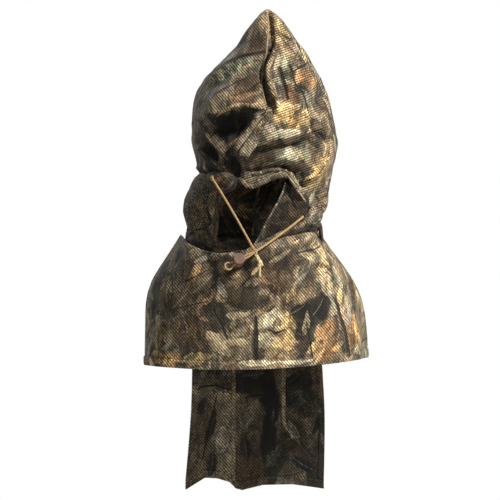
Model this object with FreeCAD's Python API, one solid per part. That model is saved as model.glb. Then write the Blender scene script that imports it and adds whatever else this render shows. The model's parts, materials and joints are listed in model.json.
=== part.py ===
"""Camouflage face mask: a hood with a drawcord face opening, a shoulder bib in front and a long
flap behind, all joined at one neck seam.

Frame: millimetres, +Z up, the wearer faces -Y and the wearer's left is +X.  The origin is the
centre of the neck seam.  Cloth is drawn as a thin skin between two lofts of the same outline, and
each skin is cut into the panels, hems and tapes that are sewn together on the real thing.
"""

import FreeCAD
import Part
import math
import os

Vector = FreeCAD.Vector
OUT = "parts"

# ---------------------------------------------------------------- driving dimensions, mm
CLOTH = 1.6            # thickness of a panel
SEW_GAP = 0.4          # clear width left along each sewn edge
ROUNDNESS = 2.2        # exponent of the rounded outlines, 2 is an ellipse
PLAN_Y = 5.0           # y of the widest line of the hood
WORLD = 900.0          # half size of a cutting block

LEVEL_STEP = 18.0      # height between two neighbouring outlines of a loft
OUTLINE_POINTS = 28    # points around one outline
OVERRUN = 6.0          # how far an inner loft runs past an open end

# hood outline: height, left, right, front, back
HOOD = [
    (8, -104, 88, -90, 95),
    (55, -108, 101, -94, 99),
    (110, -97, 113, -100, 104),
    (165, -101, 115, -102, 108),
    (215, -95, 107, -92, 101),
    (260, -66, 87, -70, 82),
    (300, -28, 59, -44, 58),
    (330, -6, 38, -20, 34),
    (348, 9, 20, -2, 14),
]
CROWN_SEAM_X = 10.0    # plane of the seam that joins the two hood panels
CROWN_TAPE = 10.0      # width of the tape sewn behind that seam
CROWN_TAPE_TOP = 322.0
CROWN_CAP = 8.0        # height of the gathered cloth that closes the peak
LINING_GAP = 0.3       # clear space between the cloth and a tape sewn behind it
CROWN_TAPE_CLOTH = 1.0

# bib outline: height, left, right, front
BIB = [
    (12, -113, 90, -92),
    (-20, -132, 114, -98),
    (-62, -160, 141, -104),
    (-95, -169, 153, -108),
    (-140, -171, 160, -112),
    (-205, -171, 165, -114),
]
BIB_EDGE_Y = 30.0      # the side edges of the bib lie in this plane
BIB_OPEN_SIDE = 40.0   # depth of the outline's open half behind that plane
BIB_TOP = -8.0         # height of the bib's top edge in front
BIB_HEM = [(-180, -185), (-112, -194), (-5, -190), (60, -187), (120, -184.5), (176, -174)]
HEM_WIDTH = 13.0
SIDE_HEM = 8.0

# sewing thread
STITCH_R = 0.35
STITCH_LIFT = 0.15     # clear height of a stitch above the cloth
STITCH_LENGTH = 5.5
STITCH_PITCH = 9.0
STITCH_INSET = 2.5     # from the upper edge of a hem
BIB_STITCHES = 32
FLAP_STITCHES = 20
FLAP_STITCH_LIFT = 0.6

# flap outline: height, left, right, y at the edges, y at the centre
FLAP = [
    (-8, -90, 90, 78, 98),
    (-150, -98, 95, 76, 98),
    (-260, -101, 101, 76, 95),
    (-385, -112, 99, 80, 92),
]
FLAP_WAVE = 4.0        # depth of the soft pleats down the flap
FLAP_PLEATS = 1.3      # number of pleats across the width
FLAP_PLEAT_SHIFT = 0.34
FLAP_BULGE = 0.9       # 1 would bend the flap into a full half ellipse
FLAP_POINTS = 16       # points across one slice of the flap
FLAP_SPAN_Z = (10.0, -390.0)
FLAP_HEM = [(-125, -386), (-104, -374), (-80, -359), (-61, -360), (-40, -367), (-28, -380),
            (8, -371), (53, -370), (110, -378)]
PLEAT_X = -37.0        # centre of the stitched-down pleat tape
PLEAT_TAPE = 7.0
PLEAT_TAPE_CLOTH = 0.8

# neck seam tape, the part everything else is sewn to: left, right, front, back
NECK = (-96, 96, -92, 92)
NECK_HALF = 6.0
NECK_TAPE = 2.0

# face opening: the path of the drawcord casing in front view, x and z
CASING_PATH = [(-64, 78), (-46, 82), (-24, 89), (-11, 82), (3, 84), (24, 95), (39, 98), (50, 87),
               (58, 76), (67, 61), (71, 42)]
OPENING_FOOT = -60.0
CASING_R = 3.6
CASING_BORE = 2.4
CASING_ROOM = 4.2
EDGE_STRIP = 8.0
EDGE_TOP = {"right": 72.0, "left": 32.0}

# face veil behind the opening: its free edge and its sewn edge, each from top to foot
VEIL_FREE_EDGE = (Vector(33, -79, 80), Vector(-16, -80, -12))
VEIL_SEWN_EDGE = (Vector(62, -62, 66), Vector(60, -60, 12))
VEIL_CLOTH = 1.2

# ear mesh windows in side view: how far in x they reach, front, back, foot, top
EAR_FOOT = 4.0
EAR_RIGHT_SIDE = {"reach": -81.0, "front": -WORLD, "back": 40.0, "top": 96.0}
EAR_LEFT_SIDE = {"reach": 60.0, "front": -20.0, "back": 60.0, "top": 86.0}
EAR_BINDING = 6.0      # width of the tape around a window

# drawcord, cord lock and knots
CORD_R = 1.75
CORD_GAP = 0.3         # clear space between a cord and the knot it runs into
BUTTONHOLE_R = 3.0
THREAD_R = 0.6
THREAD_LIFT = 0.3      # clear height of the buttonhole thread above the cloth
EXIT_RIGHT = Vector(-68, -85.5, 92.5)
EXIT_LEFT = Vector(66.8, -77, 33.8)
JUNCTION = Vector(-4.5, -112, -18)
JUNCTION_R = 4.0
TAIL_KNOT = Vector(3.3, -114, -35.5)
TAIL_KNOT_R = 3.9
TAIL_ENDS = [Vector(-9, -116, -50), Vector(3, -117, -55)]
TAIL_ROOT_R = 1.0
TAIL_TIP_R = 2.0
LOOP_LENGTH = 23.0     # from the middle of the lock to the far end of the loop
LOOP_HALF = 1.9        # half the distance between the loop's two strands in the lock
LOOP_R = 1.6
LOOP_START_GAP = 0.6
# half outline of the loop beyond the lock: distance from the lock's middle, half width
LOOP_EYE = [(11, LOOP_HALF), (14.5, 3.6), (18, 4.9), (21.5, 3.8), (LOOP_LENGTH, 0)]

# the lock's own axes: x along the cord, z along the plunger, heights from the cord's middle
LOCK_CENTRE = Vector(-28.6, -119, -30.9)
LOCK_PRESS = Vector(0.142, -0.916, 0.374)
LOCK_BARREL_R = 7.2
LOCK_FOOT = -10.0
LOCK_FLOOR = -8.5      # bottom of the bore, where the spring stands
LOCK_RIM = 2.6
LOCK_EDGE_ROUND = 1.2
LOCK_HEAD_R = 8.7
LOCK_HEAD_LOW = 7.4
LOCK_HEAD_HIGH = 10.4
LOCK_HEAD_ROUND = 0.9
LOCK_STEM_R = 5.0
LOCK_BORE_R = 5.15
LOCK_TRAVEL = 2.0
LOCK_SLOT_HALF = 2.1   # half height of the slot that the cord runs through
LOCK_SLOT_ROOM = 0.4   # clear width of the slot beside each strand
LOCK_ROOM = 2.3        # height left for the closed spring under the fully pressed plunger
SPRING_R = 3.5
SPRING_WIRE_R = 0.35
SPRING_TURNS = 2
SPRING_STEPS = 12      # points on each turn
SPRING_END_GAP = 0.1


# ---------------------------------------------------------------- helpers
def save(name, shape):
    """Writes one node, and stops with a message if it isn't made of sound closed solids."""
    solids = [s for s in shape.Solids if s.Volume > 0.01]
    if not solids or not all(s.isValid() and s.isClosed() for s in solids):
        raise ValueError(f"{name} isn't a sound solid")
    whole = solids[0] if len(solids) == 1 else Part.makeCompound(solids)
    whole.exportStep(os.path.join(OUT, name + ".step"))


def block(low, high):
    """A box between two corners, each given as (x, y, z)."""
    size = [b - a for a, b in zip(low, high)]
    return Part.makeBox(*size, Vector(*low))


def slab_x(low, high):
    return block((low, -WORLD, -WORLD), (high, WORLD, WORLD))


def outline(z, left, right, front, back, middle, grow=0.0):
    """A rounded closed outline at height z, moved outwards by grow."""
    centre = (left + right) / 2
    half = (right - left) / 2 + grow
    points = []
    for i in range(OUTLINE_POINTS):
        turn = 2 * math.pi * i / OUTLINE_POINTS
        c, s = math.cos(turn), math.sin(turn)
        depth = (back - middle if s > 0 else middle - front) + grow
        x = centre + half * math.copysign(abs(c) ** (2 / ROUNDNESS), c)
        y = middle + depth * math.copysign(abs(s) ** (2 / ROUNDNESS), s)
        points.append(Vector(x, y, z))
    curve = Part.BSplineCurve()
    curve.interpolate(points, PeriodicFlag=True)
    return Part.Wire(curve.toShape())


def row_at(rows, z):
    """The outline numbers at height z, on a smooth curve through the given rows."""
    rows = sorted(rows)
    z = min(max(z, rows[0][0]), rows[-1][0])
    i = max(n for n in range(len(rows) - 1) if rows[n][0] <= z)
    low, high = rows[i], rows[i + 1]
    before, after = rows[max(i - 1, 0)], rows[min(i + 2, len(rows) - 1)]
    span = high[0] - low[0]
    t = (z - low[0]) / span
    values = []
    for k in range(1, len(low)):
        rise_low = (high[k] - before[k]) / (high[0] - before[0]) * span
        rise_high = (after[k] - low[k]) / (after[0] - low[0]) * span
        values.append(low[k] * (1 + 2 * t) * (1 - t) ** 2 + rise_low * t * (1 - t) ** 2
                      + high[k] * t * t * (3 - 2 * t) + rise_high * t * t * (t - 1))
    return (z, *values)


def levels(rows):
    """The rows refilled at even heights, so that straight spans between them look smooth."""
    rows = sorted(rows)
    low, high = rows[0][0], rows[-1][0]
    count = max(1, round((high - low) / LEVEL_STEP))
    return [row_at(rows, low + (high - low) * i / count) for i in range(count + 1)]


def skin(rows, grow_out, grow_in, middle, roof=0.0):
    """The space between two lofts of the same rows.  The inner loft runs past the foot, and stops
    short of the top by roof, so that a closed crown keeps its cloth."""
    rows = levels(rows)
    outer = Part.makeLoft([outline(*r, middle, grow_out) for r in rows], True, True)
    low, high = rows[0], rows[-1]
    inner_rows = [(low[0] - OVERRUN, *low[1:]), *rows]
    if not roof:
        inner_rows.append((high[0] + OVERRUN, *high[1:]))
    inner = Part.makeLoft([outline(*r, middle, grow_in) for r in inner_rows], True, True)
    if roof:
        inner = inner.cut(block((-WORLD, -WORLD, high[0] - roof), (WORLD, WORLD, WORLD)))
    return outer.cut(inner)


def front_y(x, z, rows, middle, grow=0.0):
    """y of the front of an outline at a point of the front view."""
    _, left, right, front = row_at(rows, z)[:4]
    centre, half = (left + right) / 2, (right - left) / 2 + grow
    share = min(0.98, abs(x - centre) / half)
    return middle - (middle - front + grow) * (1 - share ** ROUNDNESS) ** (1 / ROUNDNESS)


def prism_y(points, low, high):
    """A closed front-view polygon of (x, z) points, pulled through from y low to y high."""
    corners = [Vector(x, low, z) for x, z in points]
    face = Part.Face(Part.makePolygon(corners + corners[:1]))
    return face.extrude(Vector(0, high - low, 0))


def below(curve, rise=0.0):
    """Everything under a hem curve of (x, z) points, raised by rise."""
    points = [(x, z + rise) for x, z in curve]
    foot = [(curve[-1][0], -WORLD), (curve[0][0], -WORLD)]
    return prism_y(points + foot, -WORLD, WORLD)


def rod(points, radius, bore=0.0):
    """A round cord or tube along a smooth path."""
    path = Part.BSplineCurve()
    path.interpolate(points)
    edge = path.toShape()
    spine = Part.Wire(edge)
    along = edge.tangentAt(edge.FirstParameter)

    def sweep(r):
        ring = Part.Wire(Part.makeCircle(r, points[0], along))
        return spine.makePipeShell([ring], True, False)

    solid = sweep(radius)
    return solid.cut(sweep(bore)) if bore else solid


def straight(start, end, radius):
    span = end - start
    return Part.makeCylinder(radius, span.Length, start, span)


def towards(start, end, distance):
    step = end - start
    return start + step * (distance / step.Length)


# ---------------------------------------------------------------- hood
def casing_points():
    """The drawcord casing's path on the front of the hood."""
    points = []
    for x, z in CASING_PATH:
        y = front_y(x, z, HOOD, PLAN_Y, -CLOTH / 2)
        points.append(Vector(x, y, z))
    return points


def opening_prism():
    foot = [(CASING_PATH[-1][0], OPENING_FOOT), (CASING_PATH[0][0], OPENING_FOOT)]
    return prism_y(CASING_PATH + foot, -WORLD, 0)


def ear_window(side, grow=0.0):
    """The block that one ear mesh panel is cut with.  The wearer's right ear is at -X."""
    if side == "right":
        low = (-WORLD, EAR_RIGHT_SIDE["front"], EAR_FOOT)
        high = (EAR_RIGHT_SIDE["reach"] + grow, EAR_RIGHT_SIDE["back"] + grow,
                EAR_RIGHT_SIDE["top"] + grow)
        return block(low, high)
    low = (EAR_LEFT_SIDE["reach"] - grow, EAR_LEFT_SIDE["front"] - grow, EAR_FOOT)
    high = (WORLD, EAR_LEFT_SIDE["back"] + grow, EAR_LEFT_SIDE["top"] + grow)
    return block(low, high)


def edge_strip(side, grow=0.0):
    """The block that the plain hem beside the opening is cut with."""
    low_x, high_x = CASING_PATH[0][0], CASING_PATH[-1][0]
    top = EDGE_TOP[side] + grow
    if side == "right":
        return block((low_x - EDGE_STRIP - grow, -WORLD, EAR_FOOT), (low_x, 0, top))
    return block((high_x, -WORLD, EAR_FOOT), (high_x + EDGE_STRIP + grow, 0, top))


def build_hood():
    shell = skin(HOOD, 0, -CLOTH, PLAN_Y, roof=CROWN_CAP)
    path = casing_points()
    shell = shell.cut(opening_prism()).cut(rod(path, CASING_ROOM))
    rest = shell
    for side in ("left", "right"):
        save("opening_edge_" + side, shell.common(edge_strip(side)))
        rest = rest.cut(edge_strip(side, SEW_GAP))
    for side in ("left", "right"):
        window = ear_window(side)
        bound = ear_window(side, EAR_BINDING)
        mesh = rest.common(window)
        save("ear_mesh_" + side, mesh)
        tape = rest.common(bound).cut(ear_window(side, SEW_GAP))
        save("ear_mesh_binding_" + side, tape)
        rest = rest.cut(ear_window(side, EAR_BINDING + SEW_GAP))
    half_gap = SEW_GAP / 2
    save("hood_right_side_panel", rest.common(slab_x(-WORLD, CROWN_SEAM_X - half_gap)))
    save("hood_left_side_panel", rest.common(slab_x(CROWN_SEAM_X + half_gap, WORLD)))
    outside = -CLOTH - LINING_GAP
    lining = skin(HOOD, outside, outside - CROWN_TAPE_CLOTH, PLAN_Y, roof=CROWN_CAP)
    strip = slab_x(CROWN_SEAM_X - CROWN_TAPE / 2, CROWN_SEAM_X + CROWN_TAPE / 2)
    strip = strip.common(block((-WORLD, -WORLD, -WORLD), (WORLD, WORLD, CROWN_TAPE_TOP)))
    save("crown_seam_tape", lining.common(strip).cut(opening_prism()).cut(rod(path, CASING_ROOM)))
    save("face_casing", rod(path, CASING_R, CASING_BORE))
    save("casing_cord", rod(path, CORD_R))


def build_buttonholes():
    """The thread-bound slits where the drawcord leaves its casing."""
    rings = []
    for at in (EXIT_RIGHT, EXIT_LEFT):
        y = front_y(at.x, at.z, HOOD, PLAN_Y)
        slope_x = front_y(at.x + 1, at.z, HOOD, PLAN_Y) - y
        slope_z = front_y(at.x, at.z + 1, HOOD, PLAN_Y) - y
        out = Vector(slope_x, -1, slope_z).normalize()
        centre = Vector(at.x, y, at.z) + out * (THREAD_R + THREAD_LIFT)
        rings.append(Part.makeTorus(BUTTONHOLE_R, THREAD_R, centre, out))
    save("drawcord_buttonholes", Part.makeCompound(rings))


def build_face_veil():
    """A light panel behind the opening, sewn down its right edge and folded aside."""
    free = Part.LineSegment(*VEIL_FREE_EDGE).toShape()
    sewn = Part.LineSegment(*VEIL_SEWN_EDGE).toShape()
    save("face_veil", Part.makeRuledSurface(free, sewn).extrude(Vector(0, VEIL_CLOTH, 0)))


# ---------------------------------------------------------------- neck
def build_neck():
    rows = [(-NECK_HALF, *NECK), (NECK_HALF, *NECK)]
    save("neck_seam_tape", skin(rows, 0, -NECK_TAPE, PLAN_Y))


# ---------------------------------------------------------------- bib
def bib_rows():
    back = BIB_EDGE_Y + BIB_OPEN_SIDE
    return sorted((*row, back) for row in BIB)


def build_bib():
    front_half = block((-WORLD, -WORLD, -WORLD), (WORLD, BIB_EDGE_Y, WORLD))
    neckline = block((-WORLD, -WORLD, BIB_TOP), (WORLD, WORLD, WORLD))
    cloth = skin(bib_rows(), 0, -CLOTH, BIB_EDGE_Y).common(front_half).cut(neckline)
    cloth = cloth.cut(below(BIB_HEM))
    hem_zone = below(BIB_HEM, HEM_WIDTH)
    save("bib_hem", cloth.common(hem_zone))
    upper = cloth.cut(below(BIB_HEM, HEM_WIDTH + SEW_GAP))
    edge_zone = block((-WORLD, BIB_EDGE_Y - SIDE_HEM, -WORLD), (WORLD, WORLD, WORLD))
    edges = upper.common(edge_zone)
    save("bib_side_hem_right", edges.common(slab_x(-WORLD, 0)))
    save("bib_side_hem_left", edges.common(slab_x(0, WORLD)))
    inner_edge = BIB_EDGE_Y - SIDE_HEM - SEW_GAP
    save("bib_panel", upper.common(block((-WORLD, -WORLD, -WORLD), (WORLD, inner_edge, WORLD))))
    save("bib_hem_stitches", hem_stitches())


def hem_stitches():
    """One row of thread along the bib's hem: short straight stitches that lie on the cloth."""
    rows = bib_rows()
    bars = []
    for i in range(BIB_STITCHES):
        x = (i - (BIB_STITCHES - 1) / 2) * STITCH_PITCH
        z = hem_height(BIB_HEM, x) + HEM_WIDTH - STITCH_INSET
        ends = []
        for end_x in (x - STITCH_LENGTH / 2, x + STITCH_LENGTH / 2):
            y = front_y(end_x, z, rows, BIB_EDGE_Y, STITCH_R + STITCH_LIFT)
            ends.append(Vector(end_x, y, z))
        bars.append(straight(ends[0], ends[1], STITCH_R))
    return Part.makeCompound(bars)


def hem_height(curve, x):
    for (x0, z0), (x1, z1) in zip(curve, curve[1:]):
        if x0 <= x <= x1:
            return z0 + (z1 - z0) * (x - x0) / (x1 - x0)
    return curve[-1][1]


# ---------------------------------------------------------------- back flap
def flap_y(row, share):
    """y of the flap's inner face, at a share of its half width from -1 to 1."""
    edge_y, centre_y = row[3:]
    sag = math.sqrt(1 - share * share * FLAP_BULGE)
    turn = 2 * math.pi * FLAP_PLEATS * (share + FLAP_PLEAT_SHIFT)
    wave = FLAP_WAVE * math.cos(turn) * (1 - share * share)
    return edge_y + (centre_y - edge_y) * sag - wave


def flap_face(row, near, far):
    """One slice of the flap: a thin wavy strip at the row's height, from near to far behind it."""
    z, left, right = row[:3]
    front, back = [], []
    for i in range(FLAP_POINTS + 1):
        share = i / FLAP_POINTS
        x = left + (right - left) * share
        y = flap_y(row, 2 * share - 1)
        front.append(Vector(x, y + near, z))
        back.append(Vector(x, y + far, z))
    rims = []
    for points in (front, back):
        curve = Part.BSplineCurve()
        curve.interpolate(points)
        rims.append(curve.toShape())
    ends = [Part.makeLine(front[0], back[0]), Part.makeLine(front[-1], back[-1])]
    return Part.Wire(Part.__sortEdges__([rims[0], ends[1], rims[1], ends[0]]))


def flap_sheet(near, far):
    return Part.makeLoft([flap_face(row, near, far) for row in levels(FLAP)], True, True)


def build_flap():
    cloth = flap_sheet(0, CLOTH).cut(below(FLAP_HEM))
    save("flap_hem", cloth.common(below(FLAP_HEM, HEM_WIDTH)))
    upper = cloth.cut(below(FLAP_HEM, HEM_WIDTH + SEW_GAP))
    low_left, top_left = FLAP[-1][1], FLAP[0][1]
    low_right, top_right = FLAP[-1][2], FLAP[0][2]
    top_z, low_z = FLAP_SPAN_Z

    def beside(width):
        """The two side zones, as wide as width plus the edge's own taper."""
        left = [(-WORLD, top_z), (top_left + width, top_z), (low_left + width, low_z),
                (-WORLD, low_z)]
        right = [(WORLD, top_z), (top_right - width, top_z), (low_right - width, low_z),
                 (WORLD, low_z)]
        return prism_y(left, -WORLD, WORLD), prism_y(right, -WORLD, WORLD)

    right_zone, left_zone = beside(SIDE_HEM)
    save("flap_side_hem_right", upper.common(right_zone))
    save("flap_side_hem_left", upper.common(left_zone))
    right_zone, left_zone = beside(SIDE_HEM + SEW_GAP)
    save("flap_panel", upper.cut(right_zone).cut(left_zone))
    tape_zone = slab_x(PLEAT_X - PLEAT_TAPE / 2, PLEAT_X + PLEAT_TAPE / 2)
    tape = flap_sheet(-LINING_GAP - PLEAT_TAPE_CLOTH, -LINING_GAP)
    tape = tape.common(tape_zone).cut(below(FLAP_HEM, HEM_WIDTH))
    save("flap_pleat_tape", tape)
    save("flap_hem_stitches", flap_stitches())


def flap_stitches():
    """Thread along the flap's hem, on its inner face, left out where the pleat tape runs."""
    bars = []
    for i in range(FLAP_STITCHES):
        x = (i - (FLAP_STITCHES - 1) / 2) * STITCH_PITCH
        z = hem_height(FLAP_HEM, x) + HEM_WIDTH - STITCH_INSET
        row = row_at(FLAP, z)
        centre, half = (row[1] + row[2]) / 2, (row[2] - row[1]) / 2
        ends = []
        for end_x in (x - STITCH_LENGTH / 2, x + STITCH_LENGTH / 2):
            y = flap_y(row, (end_x - centre) / half) - STITCH_R - FLAP_STITCH_LIFT
            ends.append(Vector(end_x, y, z))
        if abs(x - PLEAT_X) > PLEAT_TAPE:
            bars.append(straight(ends[0], ends[1], STITCH_R))
    return Part.makeCompound(bars)


# ---------------------------------------------------------------- drawcord
def build_drawcord():
    reach = JUNCTION_R + CORD_GAP
    for name, start in (("drawcord_right", EXIT_RIGHT), ("drawcord_left", EXIT_LEFT)):
        end = towards(JUNCTION, start, reach)
        save(name, straight(start, end, CORD_R))
    save("junction_knot", Part.makeSphere(JUNCTION_R, JUNCTION))
    top = towards(JUNCTION, TAIL_KNOT, reach)
    foot = towards(TAIL_KNOT, JUNCTION, TAIL_KNOT_R + CORD_GAP)
    save("tail_cord", straight(top, foot, CORD_R))
    save("tail_knot", Part.makeSphere(TAIL_KNOT_R, TAIL_KNOT))
    tails = []
    for end in TAIL_ENDS:
        start = towards(TAIL_KNOT, end, TAIL_KNOT_R + CORD_GAP)
        span = end - start
        tails.append(Part.makeCone(TAIL_ROOT_R, TAIL_TIP_R, span.Length, start, span))
    save("frayed_ends", Part.makeCompound(tails))


# ---------------------------------------------------------------- cord lock
def lock_axes():
    """Directions of the lock: along the cord, along the plunger, and across both."""
    along = (LOCK_CENTRE - JUNCTION).normalize()
    press = (LOCK_PRESS - along * LOCK_PRESS.dot(along)).normalize()
    return along, press, press.cross(along)


def place_lock(shape):
    """Moves a shape from the lock's own axes (x along the cord, z along the plunger)."""
    along, press, across = lock_axes()
    matrix = FreeCAD.Matrix(
        along.x, across.x, press.x, LOCK_CENTRE.x,
        along.y, across.y, press.y, LOCK_CENTRE.y,
        along.z, across.z, press.z, LOCK_CENTRE.z,
        0, 0, 0, 1)
    moved = shape.copy()
    moved.transformShape(matrix)
    return moved


def lock_slot(rise=0.0):
    """The slot across the lock that the cord runs through, made taller by rise."""
    half = LOOP_HALF + LOOP_R + LOCK_SLOT_ROOM
    return block((-WORLD, -half, -LOCK_SLOT_HALF), (WORLD, half, LOCK_SLOT_HALF + rise))


def cylinder(radius, low, high):
    return Part.makeCylinder(radius, high - low, Vector(0, 0, low))


def build_lock():
    barrel = cylinder(LOCK_BARREL_R, LOCK_FOOT, LOCK_RIM)
    barrel = barrel.makeFillet(LOCK_EDGE_ROUND, [barrel.Edges[2]])
    barrel = barrel.cut(cylinder(LOCK_BORE_R, LOCK_FLOOR, LOCK_RIM + 1)).cut(lock_slot())
    save("lock_barrel", place_lock(barrel))

    stem_foot = LOCK_FLOOR + LOCK_TRAVEL + LOCK_ROOM
    stem = cylinder(LOCK_STEM_R, stem_foot, LOCK_HEAD_LOW + 0.5).cut(lock_slot(LOCK_TRAVEL))
    head = cylinder(LOCK_HEAD_R, LOCK_HEAD_LOW, LOCK_HEAD_HIGH)
    head = head.makeFillet(LOCK_HEAD_ROUND, [head.Edges[0]])
    save("lock_plunger", place_lock(stem.fuse(head)))

    spring_foot = LOCK_FLOOR + SPRING_WIRE_R + SPRING_END_GAP
    height = stem_foot - SPRING_WIRE_R - SPRING_END_GAP - spring_foot
    coil = []
    steps = SPRING_TURNS * SPRING_STEPS
    for i in range(steps + 1):
        turn = 2 * math.pi * i / SPRING_STEPS
        rise = height * i / steps
        coil.append(Vector(SPRING_R * math.cos(turn), SPRING_R * math.sin(turn), spring_foot + rise))
    save("lock_spring", place_lock(rod(coil, SPRING_WIRE_R)))


def build_loop():
    """The loop of cord that the lock rides on, its two strands side by side through the lock."""
    reach = (LOCK_CENTRE - JUNCTION).Length
    start = JUNCTION_R + LOOP_START_GAP - reach
    strand = [(start, LOOP_HALF), (-10, LOOP_HALF), (0, LOOP_HALF), *LOOP_EYE]
    back = [(x, -y) for x, y in reversed(strand[:-1])]
    points = [Vector(x, y, 0) for x, y in strand + back]
    save("lock_loop", place_lock(rod(points, LOOP_R)))


os.makedirs(OUT, exist_ok=True)
build_hood()
build_buttonholes()
build_face_veil()
build_neck()
build_bib()
build_flap()
build_drawcord()
build_lock()
build_loop()
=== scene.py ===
"""Looks of the camouflage face mask: cloth, print, net, cords and cord lock, built round the CAD frame.

Work is in millimetres in the CAD frame and is scaled to metres when a mesh is made.
"""
import json
import math

import bpy
import numpy as np
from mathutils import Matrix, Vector


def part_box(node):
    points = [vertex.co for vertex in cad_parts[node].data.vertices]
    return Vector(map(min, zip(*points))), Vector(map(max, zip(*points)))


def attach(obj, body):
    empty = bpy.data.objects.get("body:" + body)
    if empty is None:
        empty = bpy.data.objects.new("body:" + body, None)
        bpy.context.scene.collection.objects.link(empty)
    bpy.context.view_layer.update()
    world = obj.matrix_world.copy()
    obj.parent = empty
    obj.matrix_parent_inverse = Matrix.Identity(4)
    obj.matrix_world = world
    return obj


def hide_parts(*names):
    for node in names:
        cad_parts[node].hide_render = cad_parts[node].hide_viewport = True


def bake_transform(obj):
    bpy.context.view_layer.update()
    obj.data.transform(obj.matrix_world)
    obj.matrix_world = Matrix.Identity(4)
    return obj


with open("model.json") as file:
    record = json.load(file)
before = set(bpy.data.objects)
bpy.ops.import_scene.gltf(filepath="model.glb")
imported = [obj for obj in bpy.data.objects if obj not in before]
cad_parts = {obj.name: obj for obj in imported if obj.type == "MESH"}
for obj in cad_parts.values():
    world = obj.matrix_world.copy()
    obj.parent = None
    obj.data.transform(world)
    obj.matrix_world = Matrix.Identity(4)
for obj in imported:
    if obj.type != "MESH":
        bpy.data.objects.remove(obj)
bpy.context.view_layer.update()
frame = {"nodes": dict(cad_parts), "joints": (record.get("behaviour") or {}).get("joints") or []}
NODES = frame["nodes"]
MM = 0.001


# ---------------------------------------------------------------- measuring the frame
def node_points(*names):
    """Vertices and edges of CAD nodes, in millimetres."""
    points, edges, count = [], [], 0
    for name in names:
        mesh = NODES[name].data
        co = np.empty(len(mesh.vertices) * 3)
        mesh.vertices.foreach_get("co", co)
        ends = np.empty(len(mesh.edges) * 2, dtype=int)
        mesh.edges.foreach_get("vertices", ends)
        points.append(co.reshape(-1, 3) / MM)
        edges.append(ends.reshape(-1, 2) + count)
        count += len(mesh.vertices)
    return np.concatenate(points), np.concatenate(edges)


def sections(names, heights):
    """Rows of (z, left, right, front, back): the extent of the nodes at each height."""
    points, edges = node_points(*names)
    low, high = points[edges[:, 0]], points[edges[:, 1]]
    rows = []
    for z in heights:
        cross = (low[:, 2] - z) * (high[:, 2] - z) < 0
        a, b = low[cross], high[cross]
        t = (z - a[:, 2]) / (b[:, 2] - a[:, 2])
        cut = a + (b - a) * t[:, None]
        rows.append((z, cut[:, 0].min(), cut[:, 0].max(), cut[:, 1].min(), cut[:, 1].max()))
    return np.array(rows)


def span(node):
    """Lowest and highest corner of a node, in millimetres."""
    low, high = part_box(node)
    return np.array(low) / MM, np.array(high) / MM


NECK_LOW, NECK_HIGH = span("neck_seam_tape")
PEAK_Z = span("hood_left_side_panel")[1][2]
HEM_LOW = span("bib_hem")[0][2]
FLAP_LOW = span("flap_hem")[0][2]
MIDDLE_Y = 5.0         # y of the hood's widest line
ROUND = 2.2            # exponent of the CAD outlines

HOOD_NODES = ["hood_left_side_panel", "hood_right_side_panel", "ear_mesh_right", "ear_mesh_left",
              "opening_edge_left", "opening_edge_right"]
HOOD_ROWS = sections(HOOD_NODES, np.linspace(10.5, PEAK_Z - 0.6, 42))
# the face opening hides the front of the low sections, so it is carried on from the neck
OPEN_TOP = 106.0
_front_top = np.interp(OPEN_TOP, HOOD_ROWS[:, 0], HOOD_ROWS[:, 3])
_low = HOOD_ROWS[:, 0] < OPEN_TOP
HOOD_ROWS[_low, 3] = np.interp(HOOD_ROWS[_low, 0], [0, OPEN_TOP], [NECK_LOW[1], _front_top])
# where the cloth's outline leaves the CAD's smooth one: side (column 1 or 2), shift, height and reach
for _side, _shift, _at, _reach in ((1, 8, 285, 22), (1, 5, 106, 22), (1, -5, 45, 24), (2, 3.5, 150, 35)):
    HOOD_ROWS[:, _side] += _shift * np.exp(-((HOOD_ROWS[:, 0] - _at) / _reach) ** 2)
BIB_ROWS = sections(["bib_panel", "bib_hem"], np.linspace(-172, -12, 30))
FLAP_ROWS = sections(["flap_panel", "flap_hem", "flap_side_hem_left", "flap_side_hem_right"],
                     np.linspace(-356, -10, 30))


def row_value(rows, z, column):
    """One column of an outline's rows at a height."""
    return np.interp(z, rows[:, 0], rows[:, column])


def centre_and_half(rows, z):
    """Middle and half width of an outline, seen in front, at a height."""
    left, right = row_value(rows, z, 1), row_value(rows, z, 2)
    return (left + right) / 2, (right - left) / 2


# ---------------------------------------------------------------- number helpers
def smooth(low, high, x):
    t = np.clip((x - low) / (high - low), 0, 1)
    return t * t * (3 - 2 * t)


def hash01(cells, seed):
    """A repeatable random number from 0 to 1 for each integer cell."""
    key = cells[..., 0] * 127.1 + cells[..., 1] * 311.7 + cells[..., 2] * 74.7 + seed * 53.3
    value = np.sin(key) * 43758.5453
    return value - np.floor(value)


def noise(p, scale, seed=0):
    """Smooth noise from -1 to 1 at points p, with features about scale wide."""
    q = np.asarray(p, dtype=float) / scale
    cell = np.floor(q)
    f = q - cell
    f = f * f * (3 - 2 * f)
    total = 0
    for dx in (0, 1):
        for dy in (0, 1):
            for dz in (0, 1):
                corner = hash01(cell + np.array([dx, dy, dz]), seed)
                wx = f[..., 0] if dx else 1 - f[..., 0]
                wy = f[..., 1] if dy else 1 - f[..., 1]
                wz = f[..., 2] if dz else 1 - f[..., 2]
                total = total + corner * wx * wy * wz
    return total * 2 - 1


def wrap(a):
    """The same angle, from -pi to pi."""
    return (a + np.pi) % (2 * np.pi) - np.pi


def rounded(s):
    """Sine or cosine of an angle, turned into a point on the CAD outlines."""
    return np.sign(s) * np.abs(s) ** (2 / ROUND)


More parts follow.
